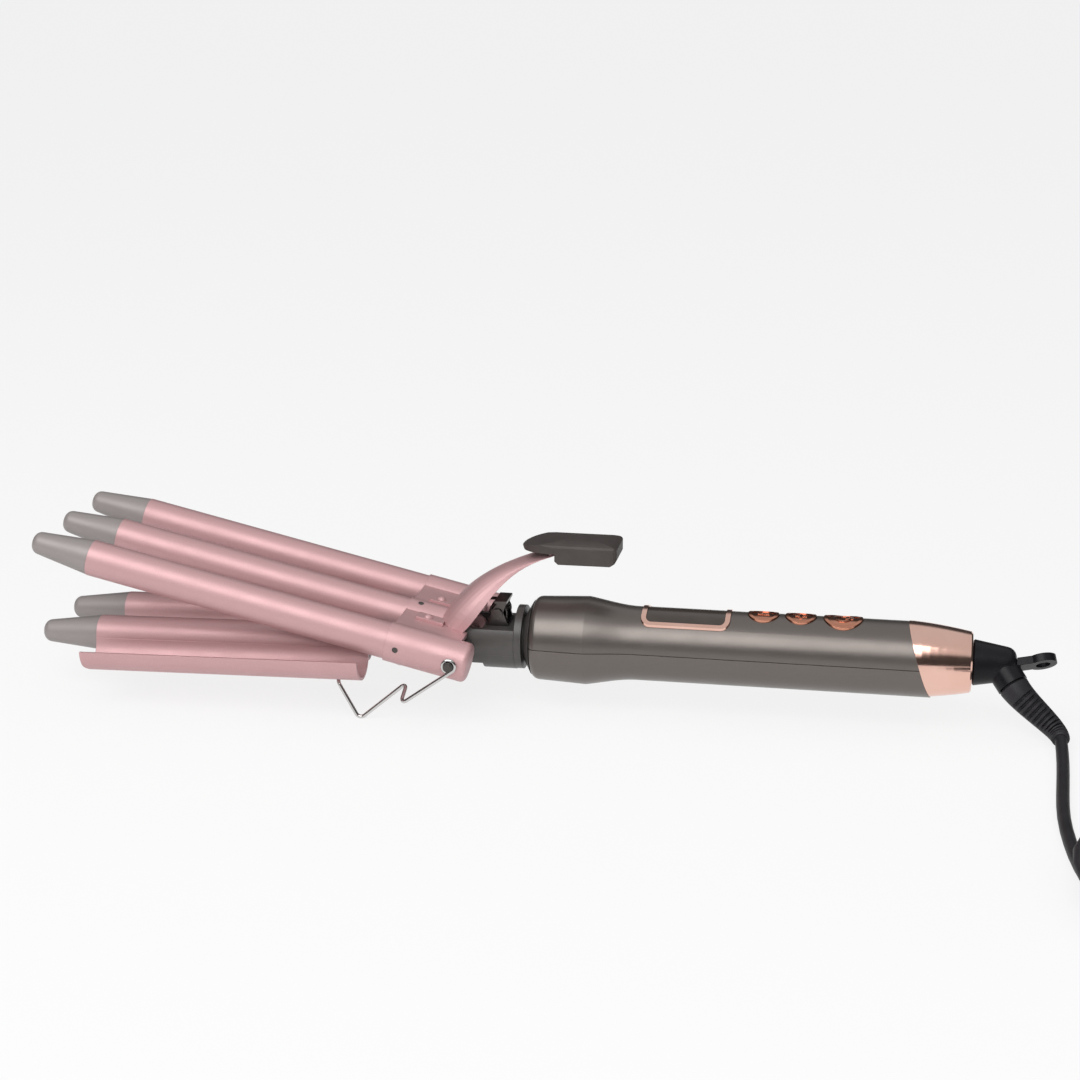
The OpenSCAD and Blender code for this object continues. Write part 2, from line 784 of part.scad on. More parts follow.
// Cover under the neck, below the seam
module lower_base() {
    color(grey) placed() difference() {
        intersection() {
            neck_round();
            block([-40, -40, -40], [0, 40, neck_seam]);
        }
        ear_slot();
        translate([-hinge_setback, 0, 0]) rod_y(neck_d + 2, knuckle_r + seat_gap);
        rod_x(neck_end_x - 0.15, 1, spigot_r + seat_gap);
        for (x = base_screw_xs) translate([x, 0, -20]) {
            cylinder(h = 20, r = screw_r + 0.2);
            cylinder(h = 20 - neck_r + 2, r = screw_head_r + 0.2);
        }
    }
}

module base_screws() {
    color(steel) {
        // Neck block to its cover
        placed() for (x = base_screw_xs) translate([x, 0, -neck_r + 2]) {
            translate([0, 0, -1.5]) cylinder(h = 1.5, r = screw_head_r);
            cylinder(h = neck_r - 2 - neck_bore_d / 2 - 0.4, r = screw_r);
        }
        // Lower barrels to their plugs, without heads
        in_lower_jaw() for (s = [-1, 1]) translate([root_screw_x, s * lower_y, -barrel_r + 0.2])
            cylinder(h = barrel_r - 3.2 - 0.4, r = root_screw_r);
    }
}

module hinge_pin() {
    color(steel) placed() translate([-hinge_setback, 0, 0]) {
        rod_y(2 * arm_out + 0.4, hinge_pin_d / 2);
        for (s = [-1, 1]) translate([0, s * (arm_out + 0.7), 0]) rod_y(1, bridge_low - 0.15);
    }
}

// ---- Jaw spring ---------------------------------------------------------------------------

arbor_x = -13.2;
arbor_z = 10.4;
arbor_r = 1.5;
bracket_half = 5.9;
bracket_x0 = -17.6;
bracket_x1 = -9;
bracket_top = 15.4;

module spring_bracket() {
    color(chrome) placed() difference() {
        union() {
            block([bracket_x0, -bracket_half, neck_flat + 0.02], [bracket_x1, bracket_half, neck_flat + bracket_t]);
            for (s = [-1, 1]) translate([0, s * (bracket_half - bracket_t / 2), 0])
                slab_y(-bracket_t / 2, bracket_t / 2)
                    polygon([[bracket_x0 + 1, neck_flat + 0.02], [bracket_x1, neck_flat + 0.02],
                             [bracket_x1 - 2, arbor_z + 0.6], [bracket_x1 - 0.6, bracket_top],
                             [bracket_x1 - 3.6, bracket_top], [arbor_x - 2.6, arbor_z + 1], [arbor_x - 2.6, arbor_z - 1.4]]);
            // Tab across the top
            block([bracket_x1 - 5.4, -bracket_half, bracket_top - bracket_t],
                  [bracket_x1 - 0.6, bracket_half, bracket_top]);
        }
        translate([arbor_x, 0, arbor_z]) rod_y(30, arbor_r + 0.02);
    }
}

module spring_arbor() {
    color(steel) placed() translate([arbor_x, 0, arbor_z]) {
        rod_y(2 * bracket_half + 1, arbor_r);
        for (s = [-1, 1]) translate([0, s * (bracket_half + 0.5), 0]) rod_y(0.9, arbor_r + 0.6);
    }
}

spring_steps = 8;
// The leg that pushes the lever reaches forward from the top of the curls
spring_leg = 14.6;
// Curls about the arbor: they start behind it from a leg that stands on the bracket's base
spring_turns = spring_curls + 0.25;
spring_y0 = -spring_pitch * spring_turns / 2;
function spring_point(u) = [arbor_x + spring_r * cos(360 * u), spring_y0 + spring_pitch * u,
                            arbor_z + spring_r * sin(360 * u)];
spring_foot = [arbor_x + spring_r, spring_y0, neck_flat + bracket_t + 0.1];
spring_last = spring_point(spring_turns);
spring_route = concat([spring_foot, spring_foot + [0, 0, spring_wire]],
    [for (i = [0:floor(spring_steps * spring_turns + 0.01)]) spring_point(i / spring_steps)],
    [spring_last - [1.4, 0, 0], spring_last - [spring_leg - 1.4, 0, 0], spring_last - [spring_leg, 0, 0]]);

module torsion_spring() {
    color(steel) placed()
        swept(spring_route, [for (p = spring_route) spring_wire / 2], 6, [0, 1, 0]);
}

// ---- Barrels ------------------------------------------------------------------------------

// Heated tube from its cap to a distance from the hinge, with a hole for its screw
module barrel(back, screw_x, screw_turn, hole_r) {
    color(pink) difference() {
        rod_x(-jaw_reach, -back, barrel_r);
        rod_x(-jaw_reach - 1, -back + 1, bore_r);
        translate([screw_x, 0, 0]) rotate([screw_turn, 0, 0]) cylinder(h = barrel_r + 1, r = hole_r);
    }
}

// Cool tip: a plug inside the barrel, a taper and a rounded nose
module tip_cap() {
    tip_r = barrel_r - (cap_length - cap_nose_r) * tan(cap_taper);
    color(taupe) turned_x(concat(
        [[-jaw_reach + cap_plug, 0], [-jaw_reach + cap_plug, bore_r - seat_gap], [-jaw_reach, bore_r - seat_gap],
         [-jaw_reach, barrel_r - 0.1]],
        [for (p = arc(-jaw_reach - cap_length + cap_nose_r, tip_r - cap_nose_r, cap_nose_r, 90 + cap_taper, 180, 6)) p],
        [[-jaw_reach - cap_length, 0]]));
}

// Heating element: a ceramic strip between two halves of a spreader rod
// The heater ends ahead of the thermal fuse, and the fuse ahead of the neck's plug
fuse_l = 10;
fuse_x = -lower_root - plug_len - 2 - fuse_l;
heater_l = 0.43 * jaw_reach;
heater_strip = 2.4;
heater_strip_w = 7;
module heater(back) {
    x0 = fuse_x - 1.5 - heater_l;
    color(steel) difference() {
        rod_x(x0, x0 + heater_l, bore_r - 0.1);
        block([x0 - 1, -heater_strip_w / 2, -heater_strip / 2], [x0 + heater_l + 1, heater_strip_w / 2, heater_strip / 2]);
    }
    color(ceramic) block([x0 + 2, -heater_strip_w / 2 + 0.05, -heater_strip / 2 + 0.05],
                         [x0 + heater_l - 2, heater_strip_w / 2 - 0.05, heater_strip / 2 - 0.05]);
    // Leads back along the barrel
    color(black) for (y = [-2, 2]) translate([0, y, 0]) rod_x(x0 + heater_l - 2, -back - 1, 0.8);
}

module upper_barrel(i) {
    in_upper_jaw() translate([0, barrel_screw_holes[i][0], 0])
        barrel(socket_front - barrel_stop, barrel_screw_x, barrel_screw_holes[i][1], barrel_screw_r + 0.02);
}
module upper_cap(y) {
    in_upper_jaw() translate([0, y, 0]) tip_cap();
}
module lower_barrel(y) {
    in_lower_jaw() translate([0, y, 0]) barrel(lower_root, root_screw_x, 180, root_screw_r + 0.02);
}
module lower_cap(y) {
    in_lower_jaw() translate([0, y, 0]) tip_cap();
}
module upper_barrel_front() { upper_barrel(0); }
module upper_barrel_middle() { upper_barrel(1); }
module upper_barrel_rear() { upper_barrel(2); }
module upper_cap_front() { upper_cap(-outer_y); }
module upper_cap_middle() { upper_cap(0); }
module upper_cap_rear() { upper_cap(outer_y); }
module lower_barrel_front() { lower_barrel(-lower_y); }
module lower_barrel_rear() { lower_barrel(lower_y); }
module lower_cap_front() { lower_cap(-lower_y); }
module lower_cap_rear() { lower_cap(lower_y); }
module upper_heaters() {
    in_upper_jaw() for (y = [-outer_y, 0, outer_y]) translate([0, y, 0]) heater(socket_front - barrel_stop);
}
module lower_heaters() {
    in_lower_jaw() for (y = [-lower_y, lower_y]) translate([0, y, 0]) heater(lower_root);
}

fuse_r = 1.7;
module thermal_fuse() {
    color(ceramic) in_lower_jaw() translate([0, -lower_y, bore_r - fuse_r - seat_gap])
        rod_x(fuse_x, fuse_x + fuse_l, fuse_r);
}

// ---- Hair troughs -------------------------------------------------------------------------

trough_out = trough_r + trough_sheet;
trough_corner = 4;
// Half-round sheet beside a lower barrel; side is -1 in front and 1 behind
module trough(side) {
    color(pink) in_lower_jaw() difference() {
        translate([0, side * outer_y, 0]) difference() {
            rod_x(-jaw_reach, -trough_back, trough_out);
            rod_x(-jaw_reach - 1, -trough_back + 1, trough_r);
            block([-jaw_reach - 1, -20, 0], [-trough_back + 1, 20, 20]);
        }
        translate([0, side * lower_y, 0]) rod_x(-jaw_reach - 1, -trough_back + 1, barrel_r + 0.02);
        trough_corner_cut();
    }
}
// Cutter that rounds the front ends of both troughs underneath
module trough_corner_cut() {
    slab_y(-60, 60) difference() {
        translate([-jaw_reach - 1, -trough_out - 1]) square(trough_corner + 1);
        translate([-jaw_reach + trough_corner, -trough_out + trough_corner]) circle(r = trough_corner);
    }
}
module trough_front() { trough(-1); }
module trough_rear() { trough(1); }

// ---- Upper socket base --------------------------------------------------------------------

// A closed socket for one barrel
module socket(y, back) {
    translate([0, y, 0]) turned_x(concat([[-socket_front, 0], [-socket_front, socket_r]],
        arc(back - socket_round, socket_r - socket_round, socket_round, 90, 0, 6), [[back, 0]]));
}

bridge_rear = 7.8;
side_rear = 0.5;
module upper_socket_base() {
    color(pink) in_upper_jaw() difference() {
        union() {
            socket(-outer_y, socket_back);
            socket(0, -socket_mid_back);
            socket(outer_y, socket_back);
            // Bridge plate over the lower barrels
            block([-socket_front - 0.2, -outer_y, bridge_low], [-bridge_rear, outer_y, bridge_top]);
            for (s = [-1, 1]) block([-bridge_rear - 1, min(s * plate_in, s * outer_y), bridge_low],
                                    [side_rear, max(s * plate_in, s * outer_y), bridge_top]);
            // Hinge ears
            for (s = [-1, 1]) slab_y(min(s * ear_in, s * ear_out), max(s * ear_in, s * ear_out)) {
                circle(r = ear_r);
                polygon([[-bridge_rear - 2, bridge_low + 0.5], [-5, -2], [0, -1], [side_rear, bridge_low + 0.5]]);
            }
        }
        for (y = [-outer_y, 0, outer_y]) translate([0, y, 0]) {
            rod_x(-socket_front - 1, -socket_front + barrel_stop, barrel_r + seat_gap);
            rod_x(-socket_front, -socket_mid_back + 0.5, 3.2);
        }
        rod_y(2 * ear_out + 2, hinge_pin_d / 2 + 0.01);
        // Holes for the stand's rivets and the barrel screws
        for (s = [-1, 1]) translate([0, s * (outer_y + socket_r), 0]) rod_y(7, stand_rivet_r + 0.02);
        for (h = barrel_screw_holes) translate([barrel_screw_x, h[0], 0]) rotate([h[1], 0, 0])
            cylinder(h = 20, r = barrel_screw_r + 0.02);
        for (s = [-1, 1]) translate([rivet_x, s * rivet_y, 0]) cylinder(h = 10, r = rivet_d / 2 + 0.02);
    }
}

barrel_screw_x = -socket_front + 4.4;
barrel_screw_r = 1.1;
// Place across the jaw and turn about the barrel of each barrel screw
barrel_screw_holes = [[-barrel_pitch, 90], [0, 15], [barrel_pitch, -90]];
module barrel_screws() {
    color(black) in_upper_jaw() for (h = barrel_screw_holes) translate([barrel_screw_x, h[0], 0]) rotate([h[1], 0, 0])
        translate([0, 0, bore_r - 0.4]) cylinder(h = socket_r - bore_r + 0.3, r = barrel_screw_r);
}

// ---- Lever and thumb pad ------------------------------------------------------------------

rivet_x = -15.6;
rivet_y = 11.4;
foot_t = 1.2;
lever_foot_x = -11.6;
lever_foot_end = -20;
lever_foot_in = 8.2;
// How far back and up the lever reaches from the hinge
lever_run = 27;
lever_rise = 43;
function on_lever(p) = [p[0] * lever_run, p[1] * lever_rise];
// Side view of the lever: its outer face and the free edge of its flanges, as shares of its run and rise
lever_face = concat([[lever_foot_x, bridge_top]], [for (p = [[-0.252, 0.465], [0.148, 0.744], [1, 1]]) on_lever(p)]);
lever_edge = concat([[-0.037 * lever_run, bridge_top]],
    [for (p = [[0.185, 0.326], [0.222, 0.698], [0.907, 0.963]]) on_lever(p)]);
lever_steps = 16;
lever_across = 16;
// Squareness of the lever's section: 2 would be an ellipse
lever_square = 2.7;
// Pitch of the pad to the upper jaw
pad_pitch = 12.9;
// Lever's tip in the pad's own frame, pitched to the jaw
lever_tip_x = lever_run * cos(pad_pitch) + lever_rise * sin(pad_pitch);
tongue_z = lever_rise * cos(pad_pitch) - lever_run * sin(pad_pitch) + 0.2;
tongue_half = 6;

// Half width of the lever at a height above the jaw: it narrows upwards
function lever_half(z) =
    (lever_top_w + (lever_foot_w - lever_top_w) * (1 - smooth((z - 0.19 * lever_rise) / (0.6 * lever_rise)))) / 2;
function sign_pow(v, e) = (v < 0 ? -1 : 1) * pow(abs(v), e);
// Ring of the lever's rounded channel section between its face and its free edges, drawn in by inset
function lever_ring(face, edge, inset) =
    let (back = unit(edge - face), top = face + inset * back)
    [for (k = [0:lever_across]) let (a = -90 + 180 * k / lever_across,
        p = edge + (top - edge) * sign_pow(cos(a), 2 / lever_square))
        [p[0], (lever_half(p[1]) - inset) * sign_pow(sin(a), 2 / lever_square), p[1]]];

// Closed skin of the lever's sheet: rings outside, then rings inside
module lever_skin() {
    face = curve_points(lever_face, lever_steps);
    edge = curve_points(lever_edge, lever_steps);
    n = lever_across + 1;
    inner = n * (lever_steps + 1);
    points = [for (inset = [0, lever_sheet]) for (i = [0:lever_steps]) each lever_ring(face[i], edge[i], inset)];
    skins = [for (i = [0:lever_steps - 1]) for (k = [0:lever_across - 1])
        let (a = i * n + k, b = a + 1, c = a + n, d = c + 1)
        each [[a, b, c], [b, d, c], [a + inner, c + inner, b + inner], [b + inner, c + inner, d + inner]]];
    edges = [for (i = [0:lever_steps - 1]) for (k = [0, lever_across])
        let (a = i * n + k, c = a + n, f = k == 0)
        each f ? [[a, c, a + inner], [a + inner, c, c + inner]] : [[a, a + inner, c], [a + inner, c + inner, c]]];
    ends = [for (i = [0, lever_steps]) for (k = [0:lever_across - 1])
        let (a = i * n + k, b = a + 1, f = i == 0)
        each f ? [[a, a + inner, b], [b, a + inner, b + inner]] : [[a, b, a + inner], [b, b + inner, a + inner]]];
    polyhedron(points, concat(skins, edges, ends));
}

module lever() {
    color(pink) in_upper_jaw() difference() {
        union() {
            lever_skin();
            // Feet riveted to the bridge plate
            for (s = [-1, 1], y = s * lever_foot_in, edge_y = s * (lever_foot_w / 2 - 0.4))
                block([lever_foot_end, min(y, edge_y), bridge_top + 0.01],
                      [lever_foot_x + 2.4, max(y, edge_y), bridge_top + foot_t]);
            // Tongue inside the thumb pad
            rotate([0, -pad_pitch, 0])
                block([pad_step_x - 2.6, -tongue_half, tongue_z - lever_sheet],
                      [pad_x0 + pad_l - 4, tongue_half, tongue_z]);
        }
        rod_x(-40, 0, socket_r + 0.06);
        for (s = [-1, 1]) translate([rivet_x, s * rivet_y, 0]) cylinder(h = 20, r = rivet_d / 2 + 0.02);
        rotate([0, -pad_pitch, 0]) for (x = pad_screw_xs) translate([x, 0, pad_low - 6]) cylinder(h = pad_h + 12, r = 1.3);
    }
}

module lever_rivets() {
    color(pink) in_upper_jaw() for (s = [-1, 1]) translate([rivet_x, s * rivet_y, 0]) {
        translate([0, 0, bridge_low]) cylinder(h = bridge_t + foot_t, r = rivet_d / 2);
        intersection() {
            translate([0, 0, bridge_top + foot_t - 0.9]) sphere(r = rivet_d / 2 + 0.75);
            translate([0, 0, bridge_top + foot_t]) cylinder(h = 3, r = 4);
        }
    }
}

pad_x0 = lever_tip_x - 15.1;
pad_low = tongue_z - 3.8;
pad_step_x = pad_x0 + 13.6;
overhang_low = tongue_z + 0.05;
pad_top = pad_low + pad_h;
pad_screw_xs = [pad_x0 + 20.2, pad_x0 + 28.7];
pad_ceiling = overhang_low + 0.9;

// Side view of the pad: a thin rounded nose in front of a deeper body
module pad_side() {
    x1 = pad_x0 + pad_l;
    front = curve_points([[pad_x0, overhang_low + 1.2], [pad_x0 + 0.8, pad_top - 2.6],
                          [pad_x0 + 8, pad_top - 0.9], [pad_x0 + 18, pad_top]], 10);
    rear = curve_points([[x1 - 14, pad_top], [x1 - 7, pad_top], [x1 - 1.5, pad_top - 0.6], [x1, pad_top - 2]], 4);
    polygon(concat([[pad_step_x, overhang_low], [pad_x0 + 1.4, overhang_low]], front, rear,
        [[x1, pad_low + 2.6], [x1 - 0.8, pad_low + 1.2], [x1 - 2.6, pad_low + 0.1], [pad_step_x + 1.4, pad_low],
         [pad_step_x, pad_low + 1.2]]));
}

// Front view of the pad, with a crowned top
module pad_front() {
    half = pad_w / 2;
    polygon(concat([[-half, 0], [half, 0], [half, pad_top - 2.2]],
        curve_points([[half, pad_top - 2.2], [half - 0.6, pad_top - 0.2], [4, pad_top], [0, pad_top]], 6),
        [for (i = [5:-1:0]) let (p = curve([[half, pad_top - 2.2], [half - 0.6, pad_top - 0.2], [4, pad_top],
            [0, pad_top]], i / 6)) [-p[0], p[1]]]));
}

// Plan of the pad, with a rounded nose
module pad_plan() {
    half = pad_w / 2;
    nose_l = 13;
    corner = 2.2;
    x1 = pad_x0 + pad_l;
    side = concat([for (i = [0:8]) [pad_x0 + nose_l * (1 - cos(90 * i / 8)), half * sin(90 * i / 8)]],
        arc(x1 - corner, half - corner, corner, 90, 0, 4));
    polygon(concat(side, [for (i = [len(side) - 1:-1:1]) [side[i][0], -side[i][1]]]));
}

module thumb_pad() {
    inner = pad_w / 2 - pad_wall;
    color(grey) in_upper_jaw() rotate([0, -pad_pitch, 0]) difference() {
        intersection() {
            slab_y(-20, 20) pad_side();
            slab_x(pad_x0 - 5, pad_x0 + pad_l + 5) pad_front();
            translate([0, 0, pad_low - 5]) linear_extrude(pad_h + 10) pad_plan();
        }
        // Hollow under the body, and the room for the lever's tongue
        block([pad_step_x + pad_wall, -inner, pad_low - 5], [pad_x0 + pad_l - pad_wall - 1, inner, tongue_z + 0.05]);
        block([pad_step_x - 3, -lever_top_w / 2 - 0.1, pad_low - 5], [pad_step_x + 2.2, lever_top_w / 2 + 0.1, tongue_z + 0.05]);
        for (x = pad_screw_xs) translate([x, 0, pad_low - 2]) cylinder(h = tongue_z - pad_low + 5, r = 1.02);
    }
}

module pad_screws() {
    color(steel) in_upper_jaw() rotate([0, -pad_pitch, 0]) for (x = pad_screw_xs) translate([x, 0, 0]) {
        translate([0, 0, tongue_z - lever_sheet - 1]) cylinder(h = 1, r = 2.2);
        translate([0, 0, tongue_z - lever_sheet]) cylinder(h = lever_sheet + 2.4, r = 1);
    }
}

// ---- Stand --------------------------------------------------------------------------------

module stand_rivets() {
    color(chrome) in_upper_jaw() for (s = [-1, 1]) {
        translate([0, s * (outer_y + socket_r - 1.6 + 1.9), 0]) rod_y(5.4, stand_rivet_r);
        translate([0, s * (stand_y + stand_wire / 2 + 0.55), 0]) rod_y(0.7, eyelet_ring_r - 0.4);
    }
}

module stand_bail() {
    color(chrome) placed() translate([-hinge_setback, 0, 0])
        swept(stand_route, [for (p = stand_route) stand_wire / 2], 8, [0, 1, 0]);
}

// ---- Tail ---------------------------------------------------------------------------------

core_end = cone_x + 6;
core_bore_r = 2.6;
module swivel_core() {
    color(black) in_tail() difference() {
        union() {
            rod_x(shell_end - 2.6, core_end, swivel_r);
            // Flange behind the collar's rear wall
            rod_x(collar_end - collar_wall - 2.6, collar_end - collar_wall - tail_gap, 8.4);
        }
        rod_x(shell_end - 4, core_end + 1, core_bore_r);
    }
}

outlet_start = cone_x + cone_l - 4;
outlet_tilt = 33;
outlet_r = cone_rear_d / 2 - 0.6;
outlet_l = 9;

// Outlet for the strain relief, pointing down and back
module tail_outlet(r) {
    translate([outlet_start, 0, -0.6]) rotate([0, 180 - outlet_tilt, 0]) cylinder(h = outlet_l, r = r);
}

module tail_cone() {
    cone_end = cone_x + cone_l;
    nose = 4;
    color(black) in_tail() difference() {
        union() {
            turned_x(concat([[cone_x, 0], [cone_x, cone_front_d / 2 - 0.5], [cone_x + 0.5, cone_front_d / 2]],
                arc(cone_end + 2 - nose, cone_rear_d / 2 - nose, nose, 80, 0, 5), [[cone_end + 2, 0]]));
            tail_outlet(outlet_r);
        }
        rod_x(cone_x - 1, core_end + 0.05, swivel_r + 0.02);
    }
}

loop_root = cone_x + cone_l + 2.02;
module hang_loop() {
    color(grey) in_tail() difference() {
        union() {
            translate([loop_x, 0, loop_lift]) rotate([0, -loop_rise, 0])
                cylinder(h = loop_t, r = loop_r, center = true);
            // Shank from the tail's rear face to the ring
            translate([loop_root, 0, 0]) rotate([0, -loop_rise, 0])
                block([-1.5, -3.6, -loop_t / 2], [loop_x - loop_root - 1, 3.6, loop_t / 2]);
        }
        translate([loop_x, 0, loop_lift]) rotate([0, -loop_rise, 0])
            cylinder(h = 3 * loop_t, r = loop_hole_r, center = true);
        block([loop_root - 10, -10, -10], [loop_root, 10, 10]);
        tail_outlet(outlet_r + seat_gap);
    }
}
loop_lift = (loop_x - loop_root) * tan(loop_rise);

// Strain relief: a ribbed sleeve that curls down to lie the lead along the surface
relief_root_r = outlet_r - 0.2;
relief_end_r = 3.3;
relief_steps = 42;
relief_ribs = 10;
function turn_tail(p) = [p[0], p[1] * cos(tail_turn) + p[2] * sin(tail_turn), -p[1] * sin(tail_turn) + p[2] * cos(tail_turn)];
outlet_dir = turn_tail([sin(outlet_tilt), 0, -cos(outlet_tilt)]);
relief_start = turn_tail([outlet_start, 0, -0.6]) + (outlet_l + 0.02) * outlet_dir;
relief_exit = [198.4, -18, 2.35 + 1.75 - axis_height];
exit_dir = unit([0.04, -0.985, -0.12]);
// Both ends run straight for a stretch, square to what they meet
relief_curve = [relief_start + 0.6 * outlet_dir, relief_start + 8.5 * outlet_dir, relief_exit - 9 * exit_dir,
                relief_exit - 0.8 * exit_dir];
relief_route = concat([relief_start], curve_points(relief_curve, relief_steps - 2), [relief_exit]);
// Taper along the sleeve, with ribs after a smooth shoulder
function relief_r(f) = relief_root_r + (relief_end_r - relief_root_r) * f
    - (f > 0.16 && f < 0.96 && (floor(f * relief_steps) % 4) > 1 ? 0.55 : 0);

module strain_relief() {
    color(black) placed() swept(relief_route,
        [for (i = [0:relief_steps]) relief_r(i / relief_steps)], 12, [0, 0, 1]);
}

// ---- Lead ---------------------------------------------------------------------------------

cord_r = cord_d / 2;
lay_z = cord_r - axis_height;
// The coil lies on its tie, so it is a tie's thickness above the surface
tie_t = 0.9;
coil_x = 234;
coil_y = -146;
coil_start = 200;
coil_out_r = coil_in_r + 2 * coil_pitch;
turns_in_layer = 2.5;
climb = 0.5;
// A climbing turn bulges out of the way of its neighbours
coil_bulge = 0.8;
drop_turns = 0.944;
drop_out = 7.2;
plug_mid_z = plug_t / 2 - axis_height + 0.02;
function smooth(t) = t < 0 ? 0 : t > 1 ? 1 : t * t * (3 - 2 * t);
// Radius and height of the coil after a number of turns: it spirals in and out by turns
function coil_r(u) =
    let (layer = min(floor(u / turns_in_layer), coil_layers - 1), v = u - layer * turns_in_layer, s = min(v, 2),
        bulge = v > 2 && u < coil_drop ? coil_bulge * sin(180 * (v - 2) / climb) : 0)
    (layer % 2 == 0 ? coil_out_r - coil_pitch * s - bulge : coil_in_r + coil_pitch * s + bulge)
    + (u > coil_drop ? drop_out * smooth((u - coil_drop) / 0.25) : 0);
function coil_lift(u) =
    let (layer = min(floor(u / turns_in_layer), coil_layers - 1), v = u - layer * turns_in_layer)
    u > coil_drop ? coil_pitch * (coil_layers - 1) - (coil_pitch * (coil_layers - 1) + coil_base - plug_mid_z)
        * smooth((u - coil_drop - 0.05) / (drop_turns - 0.1))
    : coil_pitch * (layer + (layer < coil_layers - 1 ? smooth((v - 2) / climb) : 0));
coil_drop = coil_layers * turns_in_layer - climb;
coil_base = lay_z + tie_t;
function coil_point(u) =
    let (a = coil_start + 360 * u)
    [coil_x + coil_r(u) * cos(a), coil_y + coil_r(u) * sin(a), coil_base + coil_lift(u)];
coil_turns = coil_drop + drop_turns;
coil_rings = 24;
coil_tail = 12;
coil_steps = floor(coil_turns * coil_rings);
// Straight end into the plug, along +y
coil_last = coil_point(coil_turns);
entry_dir = [-sin(coil_start), cos(coil_start), 0];
coil_entry = coil_point(0) - 3 * entry_dir;
coil_route = concat([coil_entry], [for (i = [0:coil_steps - 1]) coil_point(i / coil_rings)],
    [coil_last, coil_last + [0, coil_tail / 2, 0], coil_last + [0, coil_tail, 0]]);

// Route of the lead from the strain relief to the coil, chosen by hand
cord_route = concat([relief_exit + 0.02 * exit_dir, relief_exit + 3 * exit_dir], [
    [198.6, -27, lay_z + 0.5], [198.4, -37, lay_z + 0.1], [198.0, -47, lay_z + 0.05], [197.5, -57, lay_z + 0.05],
    [197.0, -67, lay_z + 0.05], [196.6, -77, lay_z + 0.05], [196.5, -87, lay_z + 0.05],
    [196.8, -97, lay_z + 0.05], [197.5, -107, lay_z + 0.05], [198.5, -117, lay_z + 0.05],
    [199.9, -127, lay_z + 0.1], [201.6, -136, lay_z + 0.3], [203.6, -145, lay_z + 0.6]
], [coil_entry - 3 * entry_dir, coil_entry - 0.02 * entry_dir]);

module cord_tube() {
    color(black) placed() swept(cord_route, [for (p = cord_route) cord_r], 8, [0, 0, 1]);
}

// Least distance between parts of the coil that are over a third of a turn apart, less the lead's diameter
coil_gap = min([for (i = [0:2:len(coil_route) - 1]) for (j = [i + 9:len(coil_route) - 1])
    norm(coil_route[i] - coil_route[j])]) - cord_d;
spring_gap = min([for (i = [0:len(spring_route) - 1]) for (j = [i + 4:len(spring_route) - 1])
    norm(spring_route[i] - spring_route[j])]) - spring_wire;

module cord_coil() {
    echo(coil_gap = coil_gap, spring_gap = spring_gap, axis_height = axis_height, origin_x = origin_x);
    color(black) placed() swept(coil_route, [for (p = coil_route) cord_r], 6, [0, 0, 1]);
}

tie_angle = 300;
tie_w = 9;
module coil_tie() {
    low_r = coil_in_r - coil_bulge - cord_r - soft_gap;
    high_r = coil_out_r + coil_bulge + cord_r + soft_gap;
    top = coil_base + coil_pitch * (coil_layers - 1) + cord_r + soft_gap;
    bottom = lay_z - cord_r;
    color(grey) placed() translate([coil_x, coil_y, 0]) rotate([0, 0, tie_angle]) difference() {
        block([low_r - tie_t, -tie_w / 2, bottom], [high_r + tie_t, tie_w / 2, top + tie_t]);
        block([low_r, -tie_w, bottom + tie_t - soft_gap / 3], [high_r, tie_w, top]);
    }
}

// ---- Plug ---------------------------------------------------------------------------------

plug_base = coil_last + [0, coil_tail + 0.02, 0];
plug_neck_w = 15;
module plug_body() {
    half = plug_w / 2;
    neck = plug_neck_w / 2;
    color(black) placed() translate([plug_base[0], plug_base[1], plug_mid_z]) intersection() {
        translate([0, 0, -plug_t / 2]) linear_extrude(plug_t) polygon(concat(
            [[-neck + 1.5, 0], [neck - 1.5, 0], [neck, 1.5], [neck + 0.4, 8]],
            [[half, plug_l - 9], [half, plug_l - 1], [half - 1, plug_l], [-half + 1, plug_l], [-half, plug_l - 1],
             [-half, plug_l - 9], [-neck - 0.4, 8], [-neck, 1.5]]));
        rotate([-90, 0, 0]) linear_extrude(plug_l + 1) octagon_rect(plug_w + 2, plug_t, 3.2);
    }
}

module plug_pins() {
    color(steel) placed() for (s = [-1, 1])
        translate([plug_base[0] + s * pin_pitch / 2, plug_base[1] + plug_l + 0.02, plug_mid_z]) rotate([-90, 0, 0]) {
            cylinder(h = pin_l - pin_d / 2, r = pin_d / 2);
            translate([0, 0, pin_l - pin_d / 2]) sphere(r = pin_d / 2);
        }
}

// ---- What is drawn ------------------------------------------------------------------------

handle_upper_shell();
handle_lower_shell();
shell_screws();
control_board();
display_module();
display_window();
display_bezel();
key_switches();
minus_button();
plus_button();
power_button();
end_collar();
contact_carrier();
supply_wires();
neck_block();
nose_ring();
lower_base();
base_screws();
hinge_pin();
spring_bracket();
spring_arbor();
torsion_spring();
lower_barrel_front();
lower_barrel_rear();
lower_cap_front();
lower_cap_rear();
trough_front();
trough_rear();
lower_heaters();
thermal_fuse();
upper_socket_base();
upper_barrel_front();
upper_barrel_middle();
upper_barrel_rear();
upper_cap_front();
upper_cap_middle();
upper_cap_rear();
upper_heaters();
barrel_screws();
lever();
lever_rivets();
thumb_pad();
pad_screws();
stand_rivets();
stand_bail();
swivel_core();
tail_cone();
hang_loop();
strain_relief();
cord_tube();
cord_coil();
coil_tie();
plug_body();
plug_pins();
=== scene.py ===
"""Looks of the hair waver: finishes, lead, spring, wire stand, inner leads, floor, lamps and camera."""
import math

